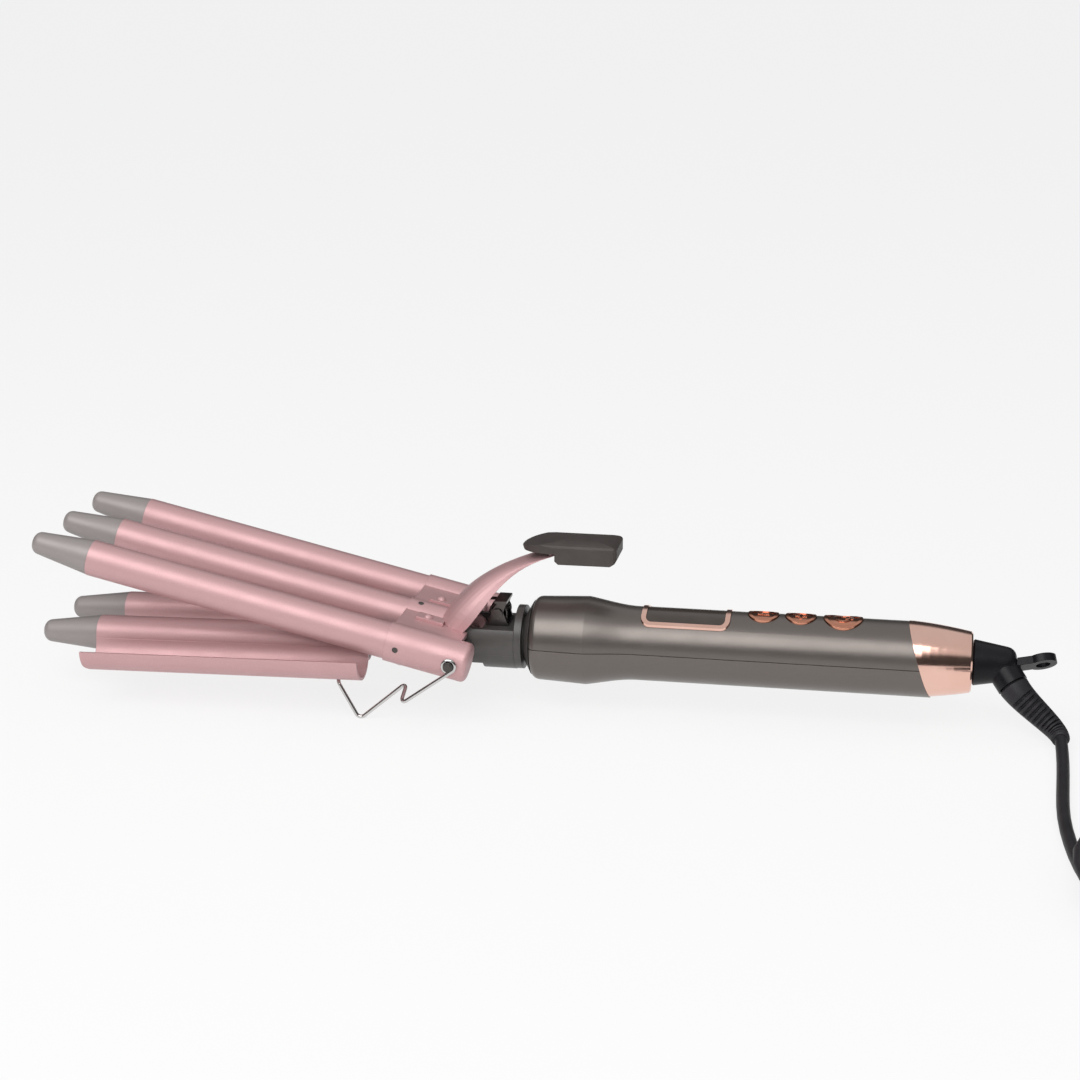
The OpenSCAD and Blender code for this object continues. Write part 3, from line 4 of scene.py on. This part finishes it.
import bpy
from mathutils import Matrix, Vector

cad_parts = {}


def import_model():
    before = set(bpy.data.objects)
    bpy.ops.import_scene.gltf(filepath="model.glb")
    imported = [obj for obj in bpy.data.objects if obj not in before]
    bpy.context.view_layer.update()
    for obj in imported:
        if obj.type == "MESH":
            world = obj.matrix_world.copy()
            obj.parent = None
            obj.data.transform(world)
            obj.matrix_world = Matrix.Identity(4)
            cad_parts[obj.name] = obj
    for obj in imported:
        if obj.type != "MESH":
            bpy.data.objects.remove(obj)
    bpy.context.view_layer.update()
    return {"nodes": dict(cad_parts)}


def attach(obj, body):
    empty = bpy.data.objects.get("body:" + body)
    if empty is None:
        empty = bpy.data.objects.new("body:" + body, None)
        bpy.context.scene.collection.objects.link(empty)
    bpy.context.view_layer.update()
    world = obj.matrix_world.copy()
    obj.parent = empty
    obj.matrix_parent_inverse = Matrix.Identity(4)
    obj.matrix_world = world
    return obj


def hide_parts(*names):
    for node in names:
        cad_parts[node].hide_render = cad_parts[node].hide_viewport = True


MM = 0.001
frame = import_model()
nodes = frame["nodes"]

# ---- Places that the parts' source gives, in millimetres -----------------------------------

# The handle's axis above the floor, and the row frame's origin along the device
axis_height = 26.019
origin_x = 1.918
hinge_x = -25.0

cord_d = 4.6
cord_r = cord_d / 2
lay_z = cord_r - axis_height
tie_t = 0.9
tail_turn = math.radians(38)


def row(point):
    """A point of the device, in millimetres from the handle's axis, as metres in the row frame."""
    x, y, z = point
    return Vector(((x - origin_x) * MM, y * MM, (z + axis_height) * MM))


def unit(point):
    return Vector(point).normalized()


def smooth(t):
    t = min(max(t, 0.0), 1.0)
    return t * t * (3 - 2 * t)


def bezier(points, t):
    """Point at share t of the Bezier curve with four control points."""
    a, b, c, d = points
    s = 1 - t
    return a * s ** 3 + b * 3 * s * s * t + c * 3 * s * t * t + d * t ** 3


# ---- Materials -----------------------------------------------------------------------------

class Finish:
    """A material built from a Principled shader, with its pattern in the object's own metres."""

    def __init__(self, name, **sockets):
        self.material = bpy.data.materials.new(name)
        self.material.use_nodes = True
        self.tree = self.material.node_tree
        self.shader = self.tree.nodes["Principled BSDF"]
        self.place = self.node("ShaderNodeTexCoord")
        for key, value in sockets.items():
            self.shader.inputs[key.replace("_", " ")].default_value = value

    def node(self, kind, **settings):
        made = self.tree.nodes.new(kind)
        for key, value in settings.items():
            setattr(made, key, value)
        return made

    def link(self, a, b):
        self.tree.links.new(a, b)

    def noise(self, size, detail=2.0):
        """Noise whose grains are size millimetres."""
        made = self.node("ShaderNodeTexNoise")
        made.inputs["Scale"].default_value = 1 / (size * MM)
        made.inputs["Detail"].default_value = detail
        self.link(self.place.outputs["Object"], made.inputs["Vector"])
        return made.outputs["Fac"]

    def span(self, value, low, high, start=0.3, end=0.7):
        """Value from start to end, spread between low and high."""
        made = self.node("ShaderNodeMapRange")
        for key, number in (("From Min", start), ("From Max", end), ("To Min", low), ("To Max", high)):
            made.inputs[key].default_value = number
        self.link(value, made.inputs["Value"])
        return made.outputs["Result"]

    def colours(self, value, *stops):
        """Colour ramp through stops of (place, colour), into the base colour."""
        ramp = self.node("ShaderNodeValToRGB")
        ramp.color_ramp.elements[0].position, ramp.color_ramp.elements[1].position = stops[0][0], stops[-1][0]
        for place, _ in stops[1:-1]:
            ramp.color_ramp.elements.new(place)
        for element, (_, colour) in zip(ramp.color_ramp.elements, stops):
            element.color = (*colour, 1)
        self.link(value, ramp.inputs["Fac"])
        self.link(ramp.outputs["Color"], self.shader.inputs["Base Color"])
        return self

    def rough(self, value, low, high):
        self.link(self.span(value, low, high), self.shader.inputs["Roughness"])
        return self

    def bump(self, value, height, strength=1.0):
        """Relief of height millimetres, added to any relief there already."""
        made = self.node("ShaderNodeBump")
        made.inputs["Distance"].default_value = height * MM
        made.inputs["Strength"].default_value = strength
        self.link(value, made.inputs["Height"])
        under = self.shader.inputs["Normal"]
        if under.is_linked:
            self.link(under.links[0].from_socket, made.inputs["Normal"])
        self.link(made.outputs["Normal"], under)
        return self

    def soft_edges(self, radius):
        """Edges catch the light as if rounded to radius millimetres."""
        made = self.node("ShaderNodeBevel", samples=6)
        made.inputs["Radius"].default_value = radius * MM
        self.link(made.outputs["Normal"], self.shader.inputs["Normal"])
        return self


def satin(name, dark, light, metal, low, high, grain=0.22, edge=0.25, relief=0.004):
    """Metal-flake paint: two close tones in a fine grain, clouded roughness and a fine relief."""
    made = Finish(name, Metallic=metal, Coat_Weight=0.12, Coat_Roughness=0.35)
    made.soft_edges(edge)
    grains = made.noise(grain, 3)
    made.colours(grains, (0.3, dark), (0.7, light))
    made.rough(made.noise(9, 4), low, high)
    return made.bump(grains, relief)


def moulded(name, dark, light, low, high, grain=0.35, relief=0.012, edge=0.3, **sockets):
    """Moulded plastic or rubber: a spark-eroded grain and slightly clouded colour."""
    made = Finish(name, **sockets)
    made.soft_edges(edge)
    made.colours(made.noise(6, 4), (0.3, dark), (0.7, light))
    grains = made.noise(grain, 2)
    made.rough(grains, low, high)
    return made.bump(grains, relief)


def polished(name, dark, light, low, high, edge=0.15, relief=0.0015, **sockets):
    """Bright metal or plating: faint handling haze and hairlines."""
    made = Finish(name, Metallic=1.0, **sockets)
    if edge:
        made.soft_edges(edge)
    made.colours(made.noise(14, 3), (0.3, dark), (0.7, light))
    made.rough(made.noise(5, 4), low, high)
    return made.bump(made.noise(0.5, 3), relief)


def make_finishes():
    glass = Finish("display_glass", Coat_Weight=0.25, Coat_Roughness=0.05)
    glass.soft_edges(0.15)
    glass.colours(glass.noise(11, 2), (0.3, (0.030, 0.022, 0.018)), (0.7, (0.042, 0.031, 0.025)))
    glass.rough(glass.noise(4, 4), 0.16, 0.24)
    board = Finish("board_green")
    board.colours(board.noise(1.2, 3), (0.35, (0.012, 0.09, 0.04)), (0.65, (0.02, 0.13, 0.06)))
    board.rough(board.noise(1.2, 3), 0.35, 0.5)
    made = {
        "rose": satin("rose_satin", (0.52, 0.310, 0.318), (0.59, 0.365, 0.373), 0.50, 0.46, 0.54),
        "taupe": satin("handle_taupe", (0.145, 0.127, 0.116), (0.172, 0.152, 0.140), 0.75, 0.30, 0.37,
                       grain=0.16),
        "cap": satin("cap_grey", (0.255, 0.228, 0.222), (0.295, 0.265, 0.258), 0.25, 0.42, 0.52,
                     relief=0.006),
        "pad": moulded("pad_grey", (0.040, 0.032, 0.029), (0.050, 0.040, 0.037), 0.50, 0.62),
        "neck": moulded("neck_grey", (0.052, 0.048, 0.045), (0.064, 0.059, 0.056), 0.30, 0.40),
        "black": moulded("black_plastic", (0.0045, 0.0045, 0.0060), (0.0075, 0.0070, 0.0090), 0.30, 0.42,
                         Specular_IOR_Level=0.2),
        "rubber": moulded("black_rubber", (0.014, 0.013, 0.015), (0.021, 0.019, 0.022), 0.45, 0.60, edge=0.1,
                          Specular_IOR_Level=0.3),
        "copper": polished("rose_gold", (0.83, 0.52, 0.43), (0.88, 0.58, 0.49), 0.12, 0.18, edge=0),
        # Buttons: the same rose gold darkened all over, a painted shade for a shadow lying over them
        "button": polished("rose_gold_painted_shade", (0.58, 0.25, 0.16), (0.66, 0.31, 0.21), 0.10, 0.18),
        "chrome": polished("bright_steel", (0.60, 0.59, 0.58), (0.68, 0.67, 0.66), 0.12, 0.20),
        "steel": polished("plain_steel", (0.42, 0.41, 0.40), (0.52, 0.51, 0.50), 0.25, 0.38),
        "dark": polished("blackened_steel", (0.085, 0.078, 0.074), (0.13, 0.12, 0.115), 0.22, 0.34),
        "glass": glass,
        "board": board,
        "ceramic": moulded("ceramic", (0.72, 0.69, 0.60), (0.82, 0.79, 0.70), 0.5, 0.7),
    }
    return {key: finish.material for key, finish in made.items()}


finishes = make_finishes()

# Finish of each part
finish_of = {
    "rose": ["lower_barrel_front", "lower_barrel_rear", "trough_front", "trough_rear", "upper_socket_base",
             "upper_barrel_front", "upper_barrel_middle", "upper_barrel_rear", "lever", "lever_rivets"],
    "taupe": ["handle_upper_shell", "handle_lower_shell"],
    "cap": ["upper_cap_front", "upper_cap_middle", "upper_cap_rear", "lower_cap_front", "lower_cap_rear"],
    "pad": ["thumb_pad"],
    "neck": ["neck_block", "nose_ring", "lower_base"],
    "black": ["key_switches", "contact_carrier", "swivel_core", "tail_cone", "hang_loop", "coil_tie"],
    "rubber": ["plug_body"],
    "ceramic": ["display_module", "lower_heaters", "upper_heaters", "thermal_fuse"],
    "copper": ["display_bezel", "end_collar"],
    # The buttons take the darkened rose gold, a painted shade
    "button": ["minus_button", "plus_button", "power_button"],
    "chrome": ["plug_pins"],
    "steel": ["shell_screws", "base_screws", "hinge_pin", "pad_screws"],
    "dark": ["spring_bracket", "spring_arbor", "stand_rivets", "barrel_screws"],
    "glass": ["display_window"],
    "board": ["control_board"],
}


def paint(obj, finish):
    obj.data.materials.clear()
    obj.data.materials.append(finishes[finish])


for finish, names in finish_of.items():
    for name in names:
        paint(nodes[name], finish)


# ---- Wires and tubes -----------------------------------------------------------------------

def wire(name, points, radius, finish, body, sides=12):
    """Round wire along points of the row frame, riding on a body."""
    curve = bpy.data.curves.new(name, "CURVE")
    curve.dimensions = "3D"
    curve.bevel_depth = radius * MM
    curve.bevel_resolution = sides // 4
    curve.use_fill_caps = True
    curve.twist_mode = "MINIMUM"
    spline = curve.splines.new("POLY")
    spline.points.add(len(points) - 1)
    spline.use_smooth = True
    for slot, point in zip(spline.points, points):
        slot.co = (*point, 1)
    made = bpy.data.objects.new(name, curve)
    bpy.context.scene.collection.objects.link(made)
    paint(made, finish)
    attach(made, body)
    return made


def loft(name, rings, finish, body):
    """Closed tube through rings of points, with flat ends."""
    verts = [tuple(point) for ring in rings for point in ring]
    n = len(rings[0])
    faces = [[i * n + j, i * n + (j + 1) % n, (i + 1) * n + (j + 1) % n, (i + 1) * n + j]
             for i in range(len(rings) - 1) for j in range(n)]
    faces += [list(range(n))[::-1], [(len(rings) - 1) * n + j for j in range(n)]]
    mesh = bpy.data.meshes.new(name)
    mesh.from_pydata(verts, [], faces)
    mesh.validate()
    for face in mesh.polygons:
        face.use_smooth = len(face.vertices) == 4
    made = bpy.data.objects.new(name, mesh)
    bpy.context.scene.collection.objects.link(made)
    paint(made, finish)
    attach(made, body)
    return made


# ---- Strain relief and lead ----------------------------------------------------------------

cone_x, cone_l, cone_rear_d = 165.8, 14.0, 13.0
outlet_tilt = math.radians(33)
outlet_start = cone_x + cone_l - 4.0
outlet_l = 9.0
relief_root_r, relief_end_r = cone_rear_d / 2 - 0.8, 3.3
relief_exit = Vector((198.4, -18, 4.1 - axis_height))
exit_dir = unit((0.04, -0.985, -0.12))


def turn_tail(point):
    """A point of the tail's own frame, turned about the device's axis as the tail is."""
    x, y, z = point
    return Vector((x, y * math.cos(tail_turn) + z * math.sin(tail_turn),
                   -y * math.sin(tail_turn) + z * math.cos(tail_turn)))


def strain_relief():
    """Tapered sleeve with slots across it, between a smooth shoulder and two smooth sides."""
    steps, slots, sides = 260, 11, 48
    # The slots begin at slots_from and take slots_share of the length; land and wall are shares of the pitch
    slots_from, slots_share, slot_depth = 0.17, 0.78, 1.5
    land, wall = 0.24, 0.10
    spine_cos, spine_blend = 0.93, 0.06
    end_inset, end_share = 0.6, 0.014
    outlet_dir = turn_tail((math.sin(outlet_tilt), 0, -math.cos(outlet_tilt)))
    start = turn_tail((outlet_start, 0, -0.6)) + outlet_dir * (outlet_l + 0.02)
    control = (start + outlet_dir * 0.6, start + outlet_dir * 8.5, relief_exit - exit_dir * 9,
               relief_exit - exit_dir * 0.8)
    route = [start] + [bezier(control, i / steps) for i in range(steps + 1)] + [relief_exit]
    rings = []
    for i, point in enumerate(route):
        share = i / (len(route) - 1)
        ahead = (route[min(i + 1, len(route) - 1)] - route[max(i - 1, 0)]).normalized()
        across = (Vector((1, 0, 0)) - ahead * ahead.x).normalized()
        up = ahead.cross(across)
        place = (share - slots_from) / slots_share * slots
        deep = smooth(((0.5 - abs(place % 1 - 0.5)) - land) / wall) if 0 < place < slots else 0
        ends = end_inset * (1 - smooth(min(share, 1 - share) / end_share))
        ring = []
        for k in range(sides):
            angle = 2 * math.pi * k / sides
            open_side = smooth((spine_cos - abs(math.cos(angle))) / spine_blend)
            taper = relief_root_r + (relief_end_r - relief_root_r) * share
            radius = taper - ends - slot_depth * deep * open_side
            ring.append(row(point + (across * math.cos(angle) + up * math.sin(angle)) * radius))
        rings.append(ring)
    made = loft("strain_relief_sleeve", rings, "rubber", "tail")
    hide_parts("strain_relief")
    return made


coil_in_r, coil_pitch, coil_layers = 19.0, 5.05, 4
coil_out_r = coil_in_r + 2 * coil_pitch
coil_x, coil_y, coil_start = 234.0, -146.0, 200.0
turns_in_layer, climb, coil_bulge = 2.5, 0.5, 0.8
coil_drop = coil_layers * turns_in_layer - climb
drop_turns, drop_out = 0.944, 7.2
# The last turn moves outwards over out_turns of a turn, and starts to sink after sink_wait of one
out_turns, sink_wait = 0.25, 0.05
coil_turns = coil_drop + drop_turns
coil_base = lay_z + tie_t
coil_tail = 12.0
plug_t = 13.7
plug_mid_z = plug_t / 2 - axis_height + 0.02
rings_in_turn = 24


def coil_point(turns):
    """The lead's centre after some turns: it spirals in and out by layers, then drops to the plug."""
    layer = min(int(turns / turns_in_layer), coil_layers - 1)
    v = turns - layer * turns_in_layer
    s = min(v, 2)
    bulge = coil_bulge * math.sin(math.pi * (v - 2) / climb) if v > 2 and turns < coil_drop else 0
    radius = coil_out_r - coil_pitch * s - bulge if layer % 2 == 0 else coil_in_r + coil_pitch * s + bulge
    top = coil_pitch * (coil_layers - 1)
    if turns > coil_drop:
        radius += drop_out * smooth((turns - coil_drop) / out_turns)
        sunk = smooth((turns - coil_drop - sink_wait) / (drop_turns - 2 * sink_wait))
        lift = top - (top + coil_base - plug_mid_z) * sunk
    else:
        lift = coil_pitch * (layer + (smooth((v - 2) / climb) if layer < coil_layers - 1 else 0))
    angle = math.radians(coil_start + 360 * turns)
    return Vector((coil_x + radius * math.cos(angle), coil_y + radius * math.sin(angle), coil_base + lift))


def cord_route():
    """The lead's centreline, from the strain relief over the floor and round the coil to the plug."""
    entry_dir = Vector((-math.sin(math.radians(coil_start)), math.cos(math.radians(coil_start)), 0))
    entry = coil_point(0) - entry_dir * 3
    # Listed points: along the device, across it, and height above lying flat
    chosen = [(198.6, -27, 0.5), (198.4, -37, 0.1), (198.0, -47, 0.05), (197.5, -57, 0.05),
              (197.0, -67, 0.05), (196.6, -77, 0.05), (196.5, -87, 0.05), (196.8, -97, 0.05),
              (197.5, -107, 0.05), (198.5, -117, 0.05), (199.9, -127, 0.1), (201.6, -136, 0.3),
              (203.6, -145, 0.6)]
    loose = [relief_exit, relief_exit + exit_dir * 3] + [Vector((x, y, lay_z + up)) for x, y, up in chosen]
    loose.append(entry - entry_dir * 3)
    wound = [coil_point(i / rings_in_turn) for i in range(int(coil_turns * rings_in_turn))]
    end = coil_point(coil_turns)
    tail = [end, end + Vector((0, coil_tail / 2, 0)), end + Vector((0, coil_tail, 0))]
    return loose + [entry] + wound + tail


def lead():
    points = [row(p) for p in cord_route()]
    made = wire("lead", points, cord_r, "rubber", "tail", sides=20)
    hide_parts("cord_tube", "cord_coil")


sleeve = strain_relief()
lead()


# ---- Springs, stand and inner wires --------------------------------------------------------

def torsion_spring():
    """Closing spring: curls about its arbor, a foot on the bracket and a leg to the lever."""
    arbor_x, arbor_z = -13.2, 10.4
    radius, thick, pitch, turns, leg = 3.2, 1.3, 1.75, 4.25, 14.6
    y0 = -pitch * turns / 2
    foot_z = 6.7

    def curl(u):
        angle = 2 * math.pi * u
        return Vector((arbor_x + radius * math.cos(angle), y0 + pitch * u,
                       arbor_z + radius * math.sin(angle)))

    foot = Vector((arbor_x + radius, y0, foot_z))
    last = curl(turns)
    steps = 24
    route = [foot, foot + Vector((0, 0, thick))] + [curl(i / steps) for i in range(int(turns * steps) + 1)]
    route += [last - Vector((back, 0, 0)) for back in (1.4, 4, 8, 12, leg)]
    made = wire("closing_spring", [row(p) for p in route], thick / 2, "dark", "handle_and_lower_jaw")
    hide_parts("torsion_spring")


def stand():
    """Wire stand: an eyelet, a cranked leg and a foot on each side, joined by a bar across."""
    ring_r, side_y, in_y, tilt, bend_r = 2.25, 39.55, 31.0, math.radians(37.2), 2.0
    corners = [Vector(p) for p in ((ring_r * math.sin(tilt), side_y, -ring_r * math.cos(tilt)),
                                   (-18.6, side_y, -16.2), (-17.8, in_y, -10.2), (-36.7, in_y, -26.4),
                                   (-45, in_y, -11.5), (-45, 0, -11.5))]
    steps, bend_steps, wire_r = 40, 10, 0.75
    half = []
    # The eyelet is five sixths of a ring
    for i in range(steps):
        angle = tilt + math.radians(210 - 300 * i / steps)
        half.append(Vector((ring_r * math.cos(angle), side_y, ring_r * math.sin(angle))))
    half.append(corners[0])
    for before, corner, after in zip(corners, corners[1:], corners[2:]):
        p, q = (before - corner).normalized(), (after - corner).normalized()
        opening = p.angle(q) / 2
        centre = corner + (p + q).normalized() * bend_r / math.sin(opening)
        reach = bend_r / math.tan(opening)
        first, last = corner + p * reach - centre, corner + q * reach - centre
        turn = math.pi - 2 * opening
        half += [centre + (first * math.sin(turn * (1 - t)) + last * math.sin(turn * t)) / math.sin(turn)
                 for t in (i / bend_steps for i in range(bend_steps + 1))]
    points = half + [Vector((p.x, -p.y, p.z)) for p in reversed(half)]
    made = wire("stand_wire", [row(p + Vector((hinge_x, 0, 0))) for p in points], wire_r, "chrome",
                "stand", 16)
    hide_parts("stand_bail")


def supply_leads():
    """Insulated leads inside the handle, from the neck and the swivel to the control board."""
    radius, low_z, board_z = 0.9, -1.9, 1.18

    def end(x, s, low):
        lifts = ((2.6, 0), (1.3, 0.2), (0.5, 0.8), (0.1, 1.5), (0, 2.1))
        return [(x - back * s, 6, low + lift) for back, lift in lifts] + [(x, 6, board_z)]

    front = [(-3, 1.6, -1.6), (15, 1.6, -1.6), (26, 5.4, low_z)] + end(46, 1, low_z)
    rear = [(152.98, 6, -1.6)] + end(118, -1, -1.6)
    for name, side, route in (("front_left", -1, front), ("front_right", 1, front),
                              ("rear_left", -1, rear), ("rear_right", 1, rear)):
        made = wire("supply_lead_" + name, [row((x, side * y, z)) for x, y, z in route], radius, "black",
                    "handle_and_lower_jaw")
        if route is front and side < 0:
            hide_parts("supply_wires")


torsion_spring()
stand()
supply_leads()


# ---- Floor, lamps and camera ---------------------------------------------------------------

def floor():
    """Pale floor that reads near white to the camera and in reflections, and keeps the shadows."""
    mesh = bpy.data.meshes.new("floor")
    half = 14.0
    lit_grey, glow_grey, glow_share = 0.86, 0.97, 0.84
    corners = [(-half, -half, 0), (half, -half, 0), (half, half, 0), (-half, half, 0)]
    mesh.from_pydata(corners, [], [(0, 1, 2, 3)])
    made = bpy.data.objects.new("floor", mesh)
    bpy.context.scene.collection.objects.link(made)
    material = bpy.data.materials.new("floor_white")
    material.use_nodes = True
    tree = material.node_tree
    base = tree.nodes["Principled BSDF"]
    base.inputs["Base Color"].default_value = (lit_grey, lit_grey, lit_grey, 1)
    base.inputs["Roughness"].default_value = 0.9
    glow = tree.nodes.new("ShaderNodeEmission")
    glow.inputs["Color"].default_value = (glow_grey, glow_grey, glow_grey, 1)
    paths = tree.nodes.new("ShaderNodeLightPath")
    seen = tree.nodes.new("ShaderNodeMath")
    seen.operation = "MAXIMUM"
    tree.links.new(paths.outputs["Is Camera Ray"], seen.inputs[0])
    tree.links.new(paths.outputs["Is Glossy Ray"], seen.inputs[1])
    share = tree.nodes.new("ShaderNodeMath")
    share.operation = "MULTIPLY"
    share.inputs[1].default_value = glow_share
    tree.links.new(seen.outputs[0], share.inputs[0])
    mix = tree.nodes.new("ShaderNodeMixShader")
    tree.links.new(share.outputs[0], mix.inputs["Fac"])
    tree.links.new(base.outputs["BSDF"], mix.inputs[1])
    tree.links.new(glow.outputs["Emission"], mix.inputs[2])
    tree.links.new(mix.outputs["Shader"], tree.nodes["Material Output"].inputs["Surface"])
    mesh.materials.append(material)


def world():
    """Pale studio: near white to the camera; for light and reflections darker near the horizon than above."""
    seen_grey = 0.945
    # Height above the horizon, from 0 to 1, and the grey there
    stops = ((0.0, 0.05), (0.50, 0.06), (0.68, 0.65), (1.0, 0.65))
    made = bpy.data.worlds.new("studio")
    bpy.context.scene.world = made
    made.use_nodes = True
    tree = made.node_tree
    back = tree.nodes["Background"]
    place = tree.nodes.new("ShaderNodeTexCoord")
    axes = tree.nodes.new("ShaderNodeSeparateXYZ")
    tree.links.new(place.outputs["Generated"], axes.inputs["Vector"])
    ramp = tree.nodes.new("ShaderNodeValToRGB")
    ramp.color_ramp.interpolation = "EASE"
    ramp.color_ramp.elements[0].position, ramp.color_ramp.elements[1].position = stops[0][0], stops[-1][0]
    for height, _ in stops[1:-1]:
        ramp.color_ramp.elements.new(height)
    for element, (_, grey) in zip(ramp.color_ramp.elements, stops):
        element.color = (grey, grey, grey, 1)
    tree.links.new(axes.outputs["Z"], ramp.inputs["Fac"])
    paths = tree.nodes.new("ShaderNodeLightPath")
    mix = tree.nodes.new("ShaderNodeMix")
    mix.data_type = "RGBA"
    tree.links.new(paths.outputs["Is Camera Ray"], mix.inputs["Factor"])
    tree.links.new(ramp.outputs["Color"], mix.inputs["A"])
    mix.inputs["B"].default_value = (seen_grey, seen_grey, seen_grey, 1)
    tree.links.new(mix.outputs["Result"], back.inputs["Color"])


def lamp(name, place, aim, size, power, mirrored=True):
    """Soft rectangular lamp at place, in metres, turned to aim, and mirrored in bright parts or not."""
    light = bpy.data.lights.new(name, "AREA")
    light.shape = "RECTANGLE"
    light.size, light.size_y = size
    light.energy = power
    made = bpy.data.objects.new(name, light)
    made.location = place
    made.rotation_euler = (Vector(aim) - Vector(place)).to_track_quat("-Z", "Y").to_euler()
    made.visible_glossy = mirrored
    bpy.context.scene.collection.objects.link(made)


def camera():
    """Camera at the photograph's place: its place in metres, its tilt from straight down and its turn."""
    place, tilt, turn = (0.14366, -0.79019, 0.29519), math.radians(74), math.radians(10.28)
    lens, sensor = 73.33, 36
    data = bpy.data.cameras.new("camera")
    data.lens = lens
    data.sensor_width = sensor
    made = bpy.data.objects.new("camera", data)
    made.location = place
    made.rotation_euler = (tilt, 0, turn)
    bpy.context.scene.collection.objects.link(made)
    bpy.context.scene.camera = made


floor()
world()
lamp("key", (-0.3, -1.0, 1.1), (0, 0, 0.03), (1.5, 1.0), 15)
lamp("fill", (0.2, -1.3, 0.5), (0, 0, 0.03), (1.2, 0.6), 9, mirrored=False)
camera()
bpy.context.scene.view_settings.view_transform = "Standard"
